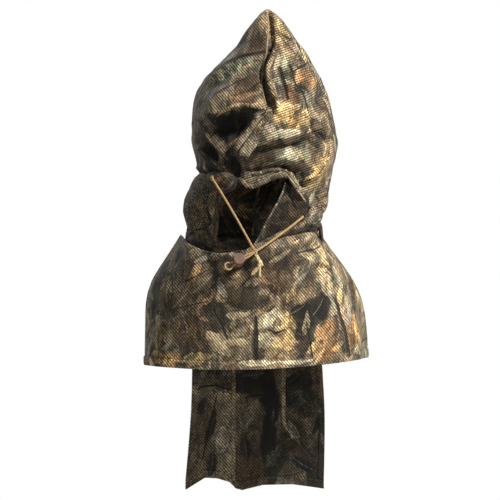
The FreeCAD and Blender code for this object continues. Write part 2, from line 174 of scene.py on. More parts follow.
def curve_through(points, steps=12):
    """A smooth line through the given points, as a dense polyline."""
    p = np.array(points, dtype=float)
    padded = np.vstack([2 * p[0] - p[1], p, 2 * p[-1] - p[-2]])
    out = []
    for i in range(len(p) - 1):
        a, b, c, d = padded[i:i + 4]
        t = np.linspace(0, 1, steps, endpoint=False)[:, None]
        out.append(0.5 * (2 * b + (c - a) * t + (2 * a - 5 * b + 4 * c - d) * t * t
                          + (3 * b - a - 3 * c + d) * t ** 3))
    out.append(p[-1:])
    return np.concatenate(out)


def near_line(x, z, line):
    """Distance to a polyline in front view, signed positive on its left, and the share along it."""
    best = np.full(x.shape, 1e9)
    side = np.zeros(x.shape)
    share = np.zeros(x.shape)
    steps = np.hypot(*np.diff(line, axis=0).T)
    ends = np.concatenate([[0], np.cumsum(steps)])
    for i, (a, b) in enumerate(zip(line[:-1], line[1:])):
        d = b - a
        t = np.clip(((x - a[0]) * d[0] + (z - a[1]) * d[1]) / (d @ d + 1e-9), 0, 1)
        ox, oz = x - a[0] - d[0] * t, z - a[1] - d[1] * t
        dist = np.hypot(ox, oz)
        closer = dist < best
        best = np.where(closer, dist, best)
        side = np.where(closer, np.sign(d[0] * oz - d[1] * ox), side)
        share = np.where(closer, (ends[i] + steps[i] * t) / ends[-1], share)
    return best * side, share


def inside(x, z, polygon):
    """Whether points lie in a closed polygon."""
    odd = np.zeros(x.shape, dtype=bool)
    n = len(polygon)
    for i in range(n):
        x0, z0 = polygon[i]
        x1, z1 = polygon[(i + 1) % n]
        crosses = (z0 > z) != (z1 > z)
        reach = x0 + (z - z0) * (x1 - x0) / (z1 - z0 + 1e-12)
        odd ^= crosses & (x < reach)
    return odd


# ---------------------------------------------------------------- folds, in front view
def ridge(x, z, points, height, left, right, fade=0.15):
    """A fold along a line: how far it stands out, with its own width on each side."""
    d, share = near_line(x, z, curve_through(points, 6))
    width = np.where(d > 0, left, right)
    ends = smooth(0, fade, share) * smooth(0, fade, 1 - share) if fade else 1.0
    return height * np.exp(-(d / width) ** 2) * ends


def blob(x, z, at, size, height, turn=0.0):
    """A soft rounded rise or hollow."""
    c, s = math.cos(turn), math.sin(turn)
    u = ((x - at[0]) * c + (z - at[1]) * s) / size[0]
    v = (-(x - at[0]) * s + (z - at[1]) * c) / size[1]
    return height * np.exp(-(u * u + v * v) ** 1.5)


SEAM = np.array([(14, 349), (17, 318), (18, 285), (15, 252), (11, 228), (7, 200), (-6, 178), (-22, 154),
                 (-38, 132), (-44, 112), (-40, 92), (-10, 40), (0, 0)], dtype=float)[::-1]


def seam_x(z):
    return np.interp(z, SEAM[:, 1], SEAM[:, 0])


def stand_out(folds, x, z):
    """How far the front of a cloth stands out of its smooth outline: the sum of its folds."""
    return sum(shape(x, z, *values) for shape, *values in folds)


HOOD_FOLDS = [
    # right panel's rounded fold beside the seam, and the groove between them
    (ridge, [(26, 300), (25, 284), (15, 256), (19, 230), (27, 212), (29, 198), (24, 184)], 9.0, 7, 4.5,
     0.1),
    (ridge, [(19, 348), (20, 320), (22, 296), (19, 280)], -10.0, 3.2, 4.0, 0.06),
    (ridge, [(16, 282), (7, 256), (9, 232), (16, 208), (17, 196)], -7.0, 4.0, 3.5, 0.12),
    (ridge, [(38, 260), (36, 240), (42, 220), (44, 200)], -5.0, 6.0, 5.0, 0.2),
    # brow fold over the dark pocket, left of the seam
    (ridge, [(-78, 166), (-63, 184), (-42, 196), (-18, 201), (8, 197)], 11.0, 24, 4.0, 0.12),
    (blob, (-36, 172), (28, 19), -21.0, 0.12),
    (blob, (-62, 150), (16, 26), -9.0, -0.3),
    (ridge, [(-70, 214), (-60, 190), (-66, 166)], 4.0, 5, 8, 0.2),
    # tongue: two folds that meet where the cloth is drawn together
    (ridge, [(2, 190), (-14, 166), (-30, 144), (-38, 122)], 13.0, 5.5, 5.0, 0.1),
    (ridge, [(16, 186), (-4, 160), (-22, 138), (-33, 122)], -6.0, 4.0, 4.0, 0.15),
    (ridge, [(30, 184), (10, 162), (-10, 140), (-26, 120)], 7.0, 7.0, 10.0, 0.15),
    (ridge, [(-88, 180), (-72, 150), (-54, 130), (-40, 116)], 7.0, 7, 5, 0.2),
    (ridge, [(-80, 186), (-64, 158), (-50, 138)], -5.0, 6, 5, 0.2),
    (ridge, [(-94, 146), (-78, 126), (-58, 112), (-42, 106)], 7.0, 6, 5, 0.2),
    (blob, (-34, 108), (8, 20), -15.0, 0.25),
    # roll across the right side, hanging over a hollow
    (ridge, [(2, 146), (26, 151), (56, 156), (84, 166)], 12.0, 17, 4.0, 0.15),
    (ridge, [(-2, 134), (28, 140), (60, 144), (88, 154)], -7.0, 4, 8, 0.15),
    (ridge, [(72, 176), (86, 160), (102, 150), (112, 154)], -7.0, 5, 5, 0.2),
    (ridge, [(112, 168), (98, 160), (92, 144), (96, 126)], 5.0, 6, 6, 0.2),
    (blob, (44, 123), (36, 12), 6.0, 0.1),
    # cloth turned over the casing, its groove and the fold towards the cheek
    (ridge, [(106, 124), (94, 112), (82, 96), (62, 87)], 8.0, 7, 3.5, 0.15),
    (ridge, [(30, 111), (50, 106), (62, 96), (74, 76)], -13.0, 5, 6, 0.15),
    (ridge, [(-26, 106), (-8, 103), (14, 109), (36, 111)], -6.0, 4, 3.5, 0.2),
    (ridge, [(102, 82), (101, 58), (90, 36), (68, 18)], 11.0, 8, 7, 0.15),
    (ridge, [(92, 78), (88, 58), (76, 40)], -6.0, 4, 5, 0.2),
    # broad soft facets near the crown
    (ridge, [(-84, 236), (-52, 262), (-10, 280), (10, 284)], 4.0, 12, 7, 0.2),
    (ridge, [(-90, 214), (-60, 238), (-20, 252), (8, 252)], -3.0, 8, 8, 0.2),
    (ridge, [(88, 250), (66, 222), (58, 195), (64, 172)], 6.0, 10, 7, 0.2),
    (ridge, [(104, 222), (88, 205), (80, 180)], -5.0, 7, 8, 0.2),
    (ridge, [(40, 318), (54, 280), (50, 244)], 3.5, 7, 7, 0.2),
    (blob, (-45, 215), (28, 14), 6.0, 0.35),
    # left cheek, under the brow
    (blob, (-55, 92), (19, 13), 8.0, 0.1),
]


# ---------------------------------------------------------------- hood surface
def hood_base(angle, z):
    """Smooth hood: a point at an angle from the front (positive to +X) and a height."""
    centre, half = centre_and_half(HOOD_ROWS, z)
    front, back = row_value(HOOD_ROWS, z, 3), row_value(HOOD_ROWS, z, 4)
    c = np.cos(angle)
    depth = np.where(c > 0, MIDDLE_Y - front, back - MIDDLE_Y)
    return np.stack([centre + half * rounded(np.sin(angle)), MIDDLE_Y - depth * rounded(c), z], axis=-1)


def grid_normals(p, closed):
    """Outward normals of a grid of points, rows up and columns round."""
    if closed:
        du = np.roll(p, -1, 1) - np.roll(p, 1, 1)
    else:
        du = np.gradient(p, axis=1)
    dv = np.gradient(p, axis=0)
    n = np.cross(du, dv)
    return n / (np.linalg.norm(n, axis=-1, keepdims=True) + 1e-9)


HOOD_COLUMNS = 340
HOOD_ROW_COUNT = 190
HOOD_FOOT = -16.0
FRONT_CROWDING = 0.42  # how much closer the columns stand in front than behind
TIP_HEIGHT = 8.0       # the tip is rounded over this height, mm
TIP_AXIS = np.array([14.5, 5.0])
RIM_SNAP = 2.6         # points this near the face opening's edge are moved onto it, mm


def hood_grid(columns, rows):
    """Angles and heights of the hood's grid.  Column 0 runs down the crown seam."""
    a = np.linspace(0, 2 * np.pi, columns, endpoint=False)
    a = np.where(a > np.pi, a - 2 * np.pi, a)
    a = a - FRONT_CROWDING * np.sin(a)
    t = np.linspace(0, 1, rows)
    z = HOOD_FOOT + (PEAK_Z - HOOD_FOOT) * (1 - (1 - t) ** 1.15)
    angle, height = np.meshgrid(a, z)
    centre, half = centre_and_half(HOOD_ROWS, z)
    share = np.clip((seam_x(z) - centre) / half, -0.8, 0.8)
    lean = np.arcsin(np.sign(share) * np.abs(share) ** (ROUND / 2))[:, None]
    pull = 0.5 + 0.5 * np.cos(np.clip(angle / 1.6, -np.pi, np.pi))
    return angle + lean * pull, height


def front_weight(normal):
    """1 where the cloth faces the viewer in front, 0 at the sides and behind."""
    return smooth(0.02, 0.5, -normal[..., 1])


# ---------------------------------------------------------------- face opening and ear windows
CASING = [(-30, 92), (-25, 89), (-19, 83), (-9, 80), (4, 84.5), (17, 91), (31, 96), (44, 96), (51, 87),
          (61, 71), (73, 55), (82, 49)]
CHEEK_EDGE = [(-60, -40), (-64, -10), (-64, 10), (-62, 35), (-61, 55), (-57, 68), (-48, 74), (-38, 78),
              (-30, 92)]
FAR_EDGE = [(82, 49), (76, 38), (68, 28), (64, 12), (62, -10), (60, -40)]
OPENING = np.concatenate([curve_through(CHEEK_EDGE)[:-1], curve_through(CASING)[:-1],
                          curve_through(FAR_EDGE)])
EAR_WINDOW = {
    "right": [(-1.56, 109), (-1.42, 109), (-1.12, 105), (-0.9, 97), (-0.77, 80), (-0.7, 58), (-0.64, 34),
              (-0.66, 24), (-0.74, 20), (-1.3, 12), (-1.64, 12), (-1.74, 20), (-1.74, 42), (-1.7, 86),
              (-1.64, 102)],
    "left": [(1.54, 16), (1.5, 44), (1.56, 72), (1.7, 86), (1.9, 90), (2.14, 84), (2.24, 62), (2.22, 30),
             (2.1, 8), (1.64, 6)],
}


# ---------------------------------------------------------------- meshes
def new_object(name, verts, faces):
    mesh = bpy.data.meshes.new(name)
    mesh.from_pydata([tuple(v) for v in np.asarray(verts) * MM], [], faces)
    mesh.validate()
    mesh.polygons.foreach_set("use_smooth", [True] * len(mesh.polygons))
    obj = bpy.data.objects.new(name, mesh)
    bpy.context.scene.collection.objects.link(obj)
    return obj


def set_attribute(obj, name, kind, values):
    data = obj.data.attributes.new(name, kind, "POINT").data
    key = {"FLOAT": "value", "FLOAT_VECTOR": "vector", "FLOAT_COLOR": "color"}[kind]
    data.foreach_set(key, np.asarray(values, dtype=np.float32).ravel())


def grid_faces(rows, columns, closed):
    """Quads of a grid as an (n, 4) array."""
    r, c = np.meshgrid(np.arange(rows - 1), np.arange(columns if closed else columns - 1), indexing="ij")
    right = (c + 1) % columns
    quads = np.stack([r * columns + c, r * columns + right, (r + 1) * columns + right,
                      (r + 1) * columns + c], axis=-1)
    return quads.reshape(-1, 4)


def sheet(name, grid, flip=False):
    """A grid of points as an open piece of cloth."""
    faces = grid_faces(*grid.shape[:2], False)
    return new_object(name, grid.reshape(-1, 3), (faces[:, ::-1] if flip else faces).tolist())


def compact(verts, faces, *extras):
    """Drops the points no face uses."""
    used = np.unique(faces)
    index = np.full(len(verts), -1)
    index[used] = np.arange(len(used))
    return verts[used], index[faces], [e[used] for e in extras]


def thicken(obj, thickness, inner_slot=None):
    """Gives a sheet its thickness, inwards from the outer face."""
    mod = obj.modifiers.new("thickness", "SOLIDIFY")
    mod.thickness = thickness * MM
    mod.offset = -1
    mod.use_quality_normals = False
    if inner_slot is not None:
        mod.material_offset = inner_slot
        mod.material_offset_rim = 0
    apply_modifiers(obj)


def apply_modifiers(obj):
    depsgraph = bpy.context.evaluated_depsgraph_get()
    mesh = bpy.data.meshes.new_from_object(obj.evaluated_get(depsgraph), preserve_all_data_layers=True,
                                           depsgraph=depsgraph)
    obj.modifiers.clear()
    old = obj.data
    obj.data = mesh
    bpy.data.meshes.remove(old)


# ---------------------------------------------------------------- the print
def tone(r, g, b):
    """A display colour as linear red, green, blue."""
    c = np.array([r, g, b]) / 255
    return np.where(c <= 0.04045, c / 12.92, ((c + 0.055) / 1.055) ** 2.4)


GOLD = tone(208, 172, 112)
TAN = tone(178, 156, 122)
CREAM = tone(216, 202, 168)
ORANGE = tone(172, 130, 84)
RUST = tone(136, 100, 70)
TAUPE = tone(134, 119, 98)
MAUVE = tone(162, 149, 132)
OLIVE = tone(114, 110, 86)
SAGE = tone(138, 138, 116)
BROWN = tone(98, 81, 61)
DARK = tone(60, 52, 42)
BLACK = tone(36, 33, 28)


def leaf_inside(du, dv, length, width, turn, bend, lobes):
    """Signed distance into a leaf (positive inside, millimetres), and its own coordinates."""
    c, s = np.cos(turn), np.sin(turn)
    p = (du * c + dv * s) / length + 0.5
    q = -du * s + dv * c - bend * length * (4 * (p - 0.5) ** 2 - 0.5)
    along = np.clip(p, 0.0, 1.0)
    half = width / 2 * np.sin(np.pi * along ** 0.8) ** 0.75
    half = half * (1 + lobes * np.sin(along * 22.0 + 1.0))
    over = np.maximum(0, np.abs(p - 0.5) - 0.5) * length
    return half - np.abs(q) - over, p, q / (width / 2)


def paint_leaves(uv, leaves):
    """The layer of leaves seen at each point: signed distance, own coordinates and colour."""
    n = len(uv)
    depth = np.full(n, -30.0)
    along, across = np.zeros(n), np.zeros(n)
    colour = np.zeros((n, 3))
    for u, v, length, width, turn, bend, lobes, shade in leaves:
        reach = length * 0.5 + 24
        close = np.nonzero((np.abs(uv[:, 0] - u) < reach) & (np.abs(uv[:, 1] - v) < reach))[0]
        if not len(close):
            continue
        d, p, q = leaf_inside(uv[close, 0] - u, uv[close, 1] - v, length, width, turn, bend, lobes)
        better = d > depth[close]
        at = close[better]
        depth[at], along[at], across[at] = d[better], p[better], q[better]
        colour[at] = shade
    return depth, along, across, colour


def paint_ground(uv, patches, base):
    """Ground colour: flat-topped soft patches with wandering outlines, over a base colour."""
    flat = np.c_[uv, np.zeros(len(uv))]
    wander = [5.0 * noise(flat, 24, 51 + k) + 4.0 * noise(flat, 9, 61 + k) for k in (0, 1)]
    pu, pv = uv[:, 0] + wander[0], uv[:, 1] + wander[1]
    total = np.full(len(uv), 0.03)
    colour = total[:, None] * base
    for u, v, length, width, turn, _, _, shade in patches:
        reach = length * 0.8 + 8
        close = np.nonzero((np.abs(pu - u) < reach) & (np.abs(pv - v) < reach))[0]
        if not len(close):
            continue
        c, s = math.cos(turn), math.sin(turn)
        a = ((pu[close] - u) * c + (pv[close] - v) * s) / (length / 2)
        b = (-(pu[close] - u) * s + (pv[close] - v) * c) / (width / 2)
        weight = np.exp(-2.0 * (a * a + b * b) ** 4)
        total[close] += weight
        colour[close] += weight[:, None] * shade
    return colour / total[:, None]


def scatter(rng, u_range, v_range, pitch, lengths, ratio, palette):
    """Leaves on a jittered lattice, so that they cover the cloth without lining up."""
    leaves = []
    for i, v in enumerate(np.arange(*v_range, pitch)):
        for u in np.arange(*u_range, pitch * 1.15):
            ju, jv = rng.uniform(-0.45, 0.45, 2) * pitch
            length = rng.uniform(*lengths)
            width = length * rng.uniform(*ratio)
            turn = rng.uniform(0, np.pi)
            shade = palette[rng.integers(len(palette))] * rng.uniform(0.75, 1.2)
            leaves.append((u + ju + (i % 2) * pitch * 0.5, v + jv, length, width, turn,
                           rng.uniform(-0.12, 0.12), rng.uniform(0, 0.22), shade))
    return leaves


def twig_lines(rng, u_range, v_range, count):
    """Branching twigs: each a list of (u, v, radius) points."""
    twigs = []
    for _ in range(count):
        u, v = rng.uniform(*u_range), rng.uniform(*v_range)
        turn = rng.choice([rng.uniform(0.1, 0.7), rng.uniform(1.2, 1.9)])
        radius = rng.uniform(0.8, 2.4)
        line = [(u, v, radius)]
        for _ in range(5):
            turn += rng.uniform(-0.28, 0.28)
            step = rng.uniform(14, 24)
            u, v = u + math.cos(turn) * step, v + math.sin(turn) * step
            radius *= 0.82
            line.append((u, v, radius))
        twigs.append(line)
        u, v, r = line[rng.integers(1, 4)]
        fork = turn + rng.choice([-0.8, 0.8])
        branch = [(u, v, r * 0.7)]
        for _ in range(2):
            u, v, r = u + math.cos(fork) * 13, v + math.sin(fork) * 13, r * 0.7
            branch.append((u, v, r * 0.6))
        twigs.append(branch)
    return twigs


def paint_twigs(uv, twigs):
    """Signed distance into the twigs, and the place across them."""
    depth = np.full(len(uv), -30.0)
    across = np.zeros(len(uv))
    for line in twigs:
        for (u0, v0, r0), (u1, v1, r1) in zip(line[:-1], line[1:]):
            du, dv = u1 - u0, v1 - v0
            reach = np.hypot(du, dv) + 14
            near = np.nonzero((np.abs(uv[:, 0] - u0) < reach) & (np.abs(uv[:, 1] - v0) < reach))[0]
            if not len(near):
                continue
            pu, pv = uv[near, 0] - u0, uv[near, 1] - v0
            t = np.clip((pu * du + pv * dv) / (du * du + dv * dv), 0, 1)
            off = np.hypot(pu - du * t, pv - dv * t)
            r = r0 + (r1 - r0) * t
            d = r - off
            better = d > depth[near]
            at = near[better]
            depth[at] = d[better]
            across[at] = (off / r * np.sign(pu * dv - pv * du))[better]
    return depth, across


def hand_leaf(x, z, length, width, degrees, shade, bend=0.05, lobes=0.1):
    return (x, z, length, width, math.radians(degrees), bend, lobes, shade)


def placed(rows):
    """Leaves from rows of: across, up, length, width, degrees, shade, then bend and lobes if given."""
    return [hand_leaf(*row) for row in rows]


# the large shapes that are seen in front: ground patches first, then leaves over them
HOOD_GROUND = placed([
    (-5, 322, 46, 30, 70, TAUPE), (-38, 296, 40, 14, 52, RUST, 0, 0),
    (-12, 288, 52, 22, 35, BROWN), (-42, 250, 92, 26, 20, SAGE, -0.06, 0.04),
    (-70, 222, 52, 24, 38, OLIVE), (-8, 232, 46, 26, 30, BROWN),
    (30, 296, 46, 26, -62, TAN), (56, 268, 64, 22, -48, TAUPE),
    (40, 262, 36, 16, -62, SAGE), (70, 242, 44, 28, -20, ORANGE),
    (92, 216, 46, 26, -75, BROWN), (94, 180, 42, 24, -60, TAUPE),
    (44, 216, 44, 26, -60, RUST), (50, 186, 64, 34, -12, GOLD, 0.08, 0.16),
    # the black and dark patches on this line and the next two, under the brow fold, beside the tongue and
    # on the left cheek, are partly print and partly painted shade of the hollows there
    (2, 166, 56, 30, 62, MAUVE), (-42, 170, 60, 44, 10, BLACK),
    (-84, 150, 70, 34, 76, DARK), (-66, 118, 66, 36, -50, BLACK * 1.2),
    (-36, 112, 60, 20, 80, BLACK), (-8, 128, 40, 26, 60, BROWN * 0.7),
    (-96, 176, 50, 22, 80, TAUPE * 0.6), (-92, 205, 40, 24, 60, OLIVE * 0.8),
    (50, 128, 66, 30, 4, SAGE * 0.9), (8, 118, 44, 26, 60, BROWN),
    (92, 132, 44, 24, 70, TAUPE), (90, 100, 56, 34, 60, GOLD * 0.9),
    (-56, 92, 48, 24, 5, BROWN), (40, 108, 60, 14, 2, BROWN),
    # these two dark patches are partly print and partly painted shade of the hollow under the right roll
    # and the groove beside the casing
    (64, 136, 46, 15, -24, DARK), (64, 104, 44, 20, -38, DARK * 0.8),
    (98, 202, 34, 26, 70, BROWN * 0.8), (84, 122, 40, 12, -50, BROWN * 0.8),
    (72, 178, 40, 12, -40, TAUPE * 0.7),
])
HOOD_LEAVES = placed([
    (36, 318, 36, 13, -58, GOLD, 0.06), (62, 284, 48, 9, -52, CREAM, 0.04),
    (26, 268, 30, 9, 78, TAN, 0.1), (-50, 206, 46, 26, 42, TAN, 0.05, 0.06),
    (-78, 205, 36, 10, 48, OLIVE * 1.2), (-22, 244, 36, 11, 24, BROWN),
    (-14, 214, 34, 14, 25, RUST), (-8, 262, 30, 10, 20, TAN * 0.8),
    (34, 238, 30, 12, -10, CREAM * 0.8), (30, 222, 28, 10, -70, DARK),
    (62, 225, 30, 13, -20, BLACK), (68, 214, 34, 8, -62, SAGE),
    (84, 190, 40, 12, -55, TAN), (40, 196, 42, 20, 15, GOLD * 1.15, 0.1, 0.2),
    (66, 176, 34, 16, -25, GOLD, -0.06, 0.2), (38, 160, 44, 16, 6, CREAM * 0.8),
    (70, 158, 30, 10, 15, RUST), (12, 150, 30, 12, 40, TAN * 0.8),
    (48, 130, 30, 24, 12, CREAM * 0.75, 0, 0.05), (16, 112, 22, 12, 30, TAN * 0.8),
    (94, 154, 26, 12, -30, BLACK), (100, 138, 30, 12, 70, GOLD),
    (96, 112, 34, 14, 62, ORANGE), (84, 86, 34, 15, 25, GOLD),
    (82, 64, 28, 20, 70, CREAM, 0, 0.06), (-70, 176, 34, 14, 75, TAUPE * 0.8),
    (-88, 120, 34, 12, 80, TAUPE * 0.7), (-52, 90, 20, 9, 30, RUST),
    (96, 40, 24, 12, 60, TAUPE), (76, 34, 34, 12, 40, MAUVE),
])
HOOD_TWIGS = [
    [(-96, 212, 0.8), (-72, 246, 2.6), (-48, 264, 2.4), (-20, 275, 2.0), (18, 283, 2.6)],
    [(-30, 266, 1.5), (-24, 281, 1.1), (-18, 294, 0.7)],
    [(-24, 294, 0.7), (-6, 300, 0.8), (16, 303, 0.7)],
    [(-60, 216, 1.8), (-40, 228, 1.3), (-20, 240, 0.8)],
    [(-10, 222, 1.3), (0, 233, 1.2), (14, 241, 1.0)], [(0, 233, 1.0), (-6, 222, 0.8)],
    [(46, 250, 1.2), (58, 258, 1.4), (76, 267, 1.1)],
    [(44, 262, 1.6), (52, 236, 1.4), (66, 206, 1.2), (80, 176, 1.0)],
    [(30, 256, 3.0), (36, 236, 2.6), (42, 212, 1.4)],
    [(56, 290, 0.6), (78, 252, 0.8), (92, 214, 0.7)],
    [(-60, 178, 0.9), (-72, 150, 1.0), (-66, 112, 0.8)],
    [(80, 160, 1.2), (92, 166, 1.3), (104, 150, 1.0)],
    [(96, 118, 0.8), (84, 100, 1.0), (70, 92, 0.9)],
    [(20, 322, 0.5), (36, 300, 0.6), (54, 276, 0.5)],
    [(-14, 168, 0.6), (8, 188, 0.9), (14, 202, 0.6)],
]
BIB_GROUND = placed([
    (-150, -60, 70, 30, 55, DARK), (-158, -130, 90, 30, 90, DARK),
    (-118, -90, 70, 40, 75, TAUPE * 0.8), (-100, -140, 80, 50, -30, BROWN),
    (-60, -120, 60, 40, -50, DARK), (-30, -80, 60, 40, -40, BROWN * 0.85),
    (-24, -140, 40, 50, 90, TAN * 0.65), (18, -130, 50, 36, 75, CREAM * 0.75),
    (36, -140, 60, 34, 60, GOLD * 0.9), (78, -108, 70, 40, 35, BLACK),
    (96, -150, 56, 46, 70, ORANGE), (124, -104, 60, 34, 80, TAN),
    (140, -140, 60, 26, 95, ORANGE * 0.9), (100, -52, 60, 44, -50, TAN),
    (60, -72, 70, 26, 35, TAUPE), (40, -34, 60, 30, 28, BROWN * 1.1),
    (84, -16, 50, 30, 10, TAN), (-60, -44, 60, 34, 20, BROWN * 0.8),
    (-96, -30, 60, 34, 50, TAUPE * 0.8), (0, -52, 50, 34, 20, BROWN * 0.8),
    (8, -24, 40, 20, 20, BROWN), (30, -66, 44, 26, 30, BROWN),
    (64, -146, 60, 22, 80, DARK), (-14, -96, 50, 18, 8, BROWN * 0.8),
    (122, -66, 40, 20, -60, TAUPE), (112, -126, 36, 20, 70, BROWN),
    (148, -116, 44, 18, 80, DARK),
    (-130, -178, 70, 16, 2, GOLD * 0.8), (150, -170, 50, 20, 10, TAUPE),
])
BIB_LEAVES = placed([
    (-92, -52, 66, 16, 62, ORANGE, 0.08, 0.04), (-78, -66, 44, 20, 42, BROWN),
    (-116, -94, 56, 30, 40, BROWN, 0, 0.05), (-128, -110, 52, 16, 78, TAUPE * 0.8),
    (-70, -90, 26, 10, 35, ORANGE), (-86, -176, 54, 18, 5, GOLD, 0.04, 0.2),
    (-146, -172, 44, 13, -8, ORANGE, 0, 0.12), (-54, -156, 54, 22, -46, TAN, 0, 0.1),
    (-26, -112, 36, 13, 4, TAN), (-26, -152, 34, 14, -4, TAN),
    (14, -116, 34, 15, 60, CREAM), (38, -150, 50, 20, 66, GOLD, 0.06, 0.16),
    (46, -80, 34, 12, 60, GOLD), (26, -140, 22, 8, 20, RUST),
    (66, -124, 40, 12, 80, TAN), (102, -148, 46, 20, 62, ORANGE * 1.15, 0.05, 0.12),
    (78, -158, 36, 12, 50, GOLD * 0.9), (120, -84, 34, 16, 60, GOLD),
    (134, -112, 40, 16, 60, MAUVE), (118, -56, 42, 16, -60, CREAM * 0.8),
    (94, -70, 34, 12, -70, TAN), (96, -30, 38, 12, -40, GOLD),
    (62, -56, 44, 11, 38, MAUVE), (86, -100, 34, 16, 50, BLACK),
    (54, -104, 28, 16, 30, BLACK), (146, -162, 30, 9, 30, CREAM * 0.8),
    (126, -160, 20, 12, 60, BLACK), (-60, -24, 40, 12, 10, TAUPE),
    (30, -24, 44, 10, 30, TAN), (0, -182, 50, 9, 2, CREAM),
    (52, -180, 60, 8, 3, CREAM), (-6, -62, 30, 12, 30, TAUPE),
])
BIB_TWIGS = [
    [(-5, -112, 1.0), (-4, -134, 2.0), (-5, -152, 3.0), (-4, -176, 2.4)],
    [(112, -88, 1.4), (120, -112, 3.0), (128, -140, 4.0), (132, -168, 5.0)],
    [(120, -104, 1.4), (116, -92, 1.0), (114, -84, 0.6)],
    [(-128, -106, 0.8), (-96, -98, 0.8), (-70, -92, 0.7)],
    [(-128, -40, 0.9), (-124, -76, 1.1), (-130, -116, 1.0)],
    [(66, -122, 0.8), (70, -146, 1.4), (76, -176, 1.0)],
    [(-62, -104, 1.6), (-50, -124, 1.8), (-40, -150, 1.2)],
    [(98, -48, 0.8), (112, -58, 0.9), (104, -64, 0.6)],
    [(-104, -62, 0.8), (-84, -54, 0.9), (-70, -44, 0.6)],
    [(12, -134, 1.2), (22, -140, 1.6), (34, -134, 1.0)],
    [(104, 0, 0.8), (84, -14, 0.9), (58, -20, 0.7)],
]
FLAP_GROUND = placed([
    (-80, -222, 50, 34, 80, TAUPE * 1.7), (-58, -244, 60, 40, 20, TAUPE * 2.1),
    (-52, -296, 90, 38, 84, MAUVE * 1.25), (-88, -340, 60, 26, 78, TAUPE * 1.3),
    (-56, -348, 46, 34, 88, MAUVE * 1.4), (-12, -215, 60, 40, 10, DARK * 0.8),
    (-11, -268, 70, 44, 80, TAUPE * 1.1), (-14, -335, 80, 38, 88, BROWN * 1.1),
    (18, -280, 190, 26, 90, BLACK * 0.6), (28, -330, 70, 34, 60, OLIVE * 0.42),
    (60, -225, 60, 36, 60, DARK * 0.9), (74, -248, 70, 38, -40, OLIVE * 0.62),
    (64, -305, 90, 34, -60, BROWN * 0.75), (88, -345, 70, 36, 90, DARK * 0.9),
    (96, -290, 90, 18, 90, BLACK * 0.8),
])
FLAP_LEAVES = placed([
    (-90, -284, 56, 17, 62, BROWN * 1.6, 0.05), (-71, -280, 52, 13, 74, BLACK),
    (-60, -240, 42, 24, 12, TAUPE * 2.3, 0.06, 0.08), (-84, -208, 40, 15, 70, TAUPE * 1.8),
    (-54, -302, 46, 22, 84, MAUVE * 1.5, 0, 0.06), (-99, -330, 50, 12, 70, TAUPE * 1.6),
    (-70, -338, 40, 14, 84, DARK), (-8, -262, 46, 28, 70, TAUPE * 1.3, 0.06, 0.08),
    (-20, -312, 40, 16, 100, DARK * 0.9), (-6, -204, 34, 14, 8, BROWN),
    (26, -328, 40, 22, 50, OLIVE * 0.55, 0.06, 0.18),
    (76, -246, 52, 26, -38, OLIVE * 0.75, 0.05, 0.16),
    (56, -292, 44, 14, -62, MAUVE * 0.8), (84, -302, 34, 16, 60, BROWN * 0.9),
    (70, -340, 42, 16, -30, BLACK * 0.9), (50, -352, 40, 14, 10, TAUPE * 0.6),
    (54, -210, 30, 15, 40, BLACK),
])
FLAP_TWIGS = [
    [(-84, -332, 1.0), (-76, -300, 1.8), (-68, -268, 1.4), (-60, -224, 0.8)],
    [(-104, -232, 0.8), (-84, -222, 1.6), (-62, -220, 1.6), (-42, -228, 0.8)],
    [(-28, -240, 0.8), (0, -236, 1.6), (24, -235, 0.8)],
    [(60, -296, 0.8), (72, -318, 1.6), (90, -334, 0.8)],
]
DULL = [TAUPE * 0.8, BROWN, OLIVE * 0.7, DARK, TAUPE * 0.6, RUST * 0.6, DARK]
MIXED = [TAN, TAUPE, OLIVE, BROWN, ORANGE * 0.9, GOLD, SAGE, MAUVE, DARK, RUST]


def shift_leaves(leaves, arc):
    """Moves listed leaves from front view to the print's own coordinate round the body."""
    return [(arc(leaf[0], leaf[1]), *leaf[1:]) for leaf in leaves]


TWIG_GROWTH = 1.35     # printed twigs are drawn a little thicker than their centre lines say
TWIG_SPACE = 14        # one scattered twig for this much of the cloth's width, mm
# scattered ground patches, lower leaves and upper leaves: lattice pitch, lengths, and widths by length
LAYERS = [(26, (34, 74), (0.4, 0.7)), (42, (26, 50), (0.2, 0.4)), (52, (18, 40), (0.14, 0.34))]


def shift_twigs(twigs, arc):
    return [[(arc(x, z), z, r * TWIG_GROWTH) for x, z, r in line] for line in twigs]


def place_weave(obj):
    """Weave coordinates: across, up and deep, and how much of the weave is laid from the side.

    Cloth that faces front or back has its rows laid from the front, and cloth at the sides from the
    side, so that the rows keep their pitch all round.
    """
    count = len(obj.data.vertices) * 3
    points, normals = np.empty(count), np.empty(count)
    obj.data.vertices.foreach_get("co", points)
    obj.data.vertices.foreach_get("normal", normals)
    set_attribute(obj, "weave", "FLOAT_VECTOR", points.reshape(-1, 3)[:, [0, 2, 1]] / MM)
    aside = np.abs(normals.reshape(-1, 3)[:, 0])
    set_attribute(obj, "weave_side", "FLOAT", smooth(0.68, 0.84, aside))


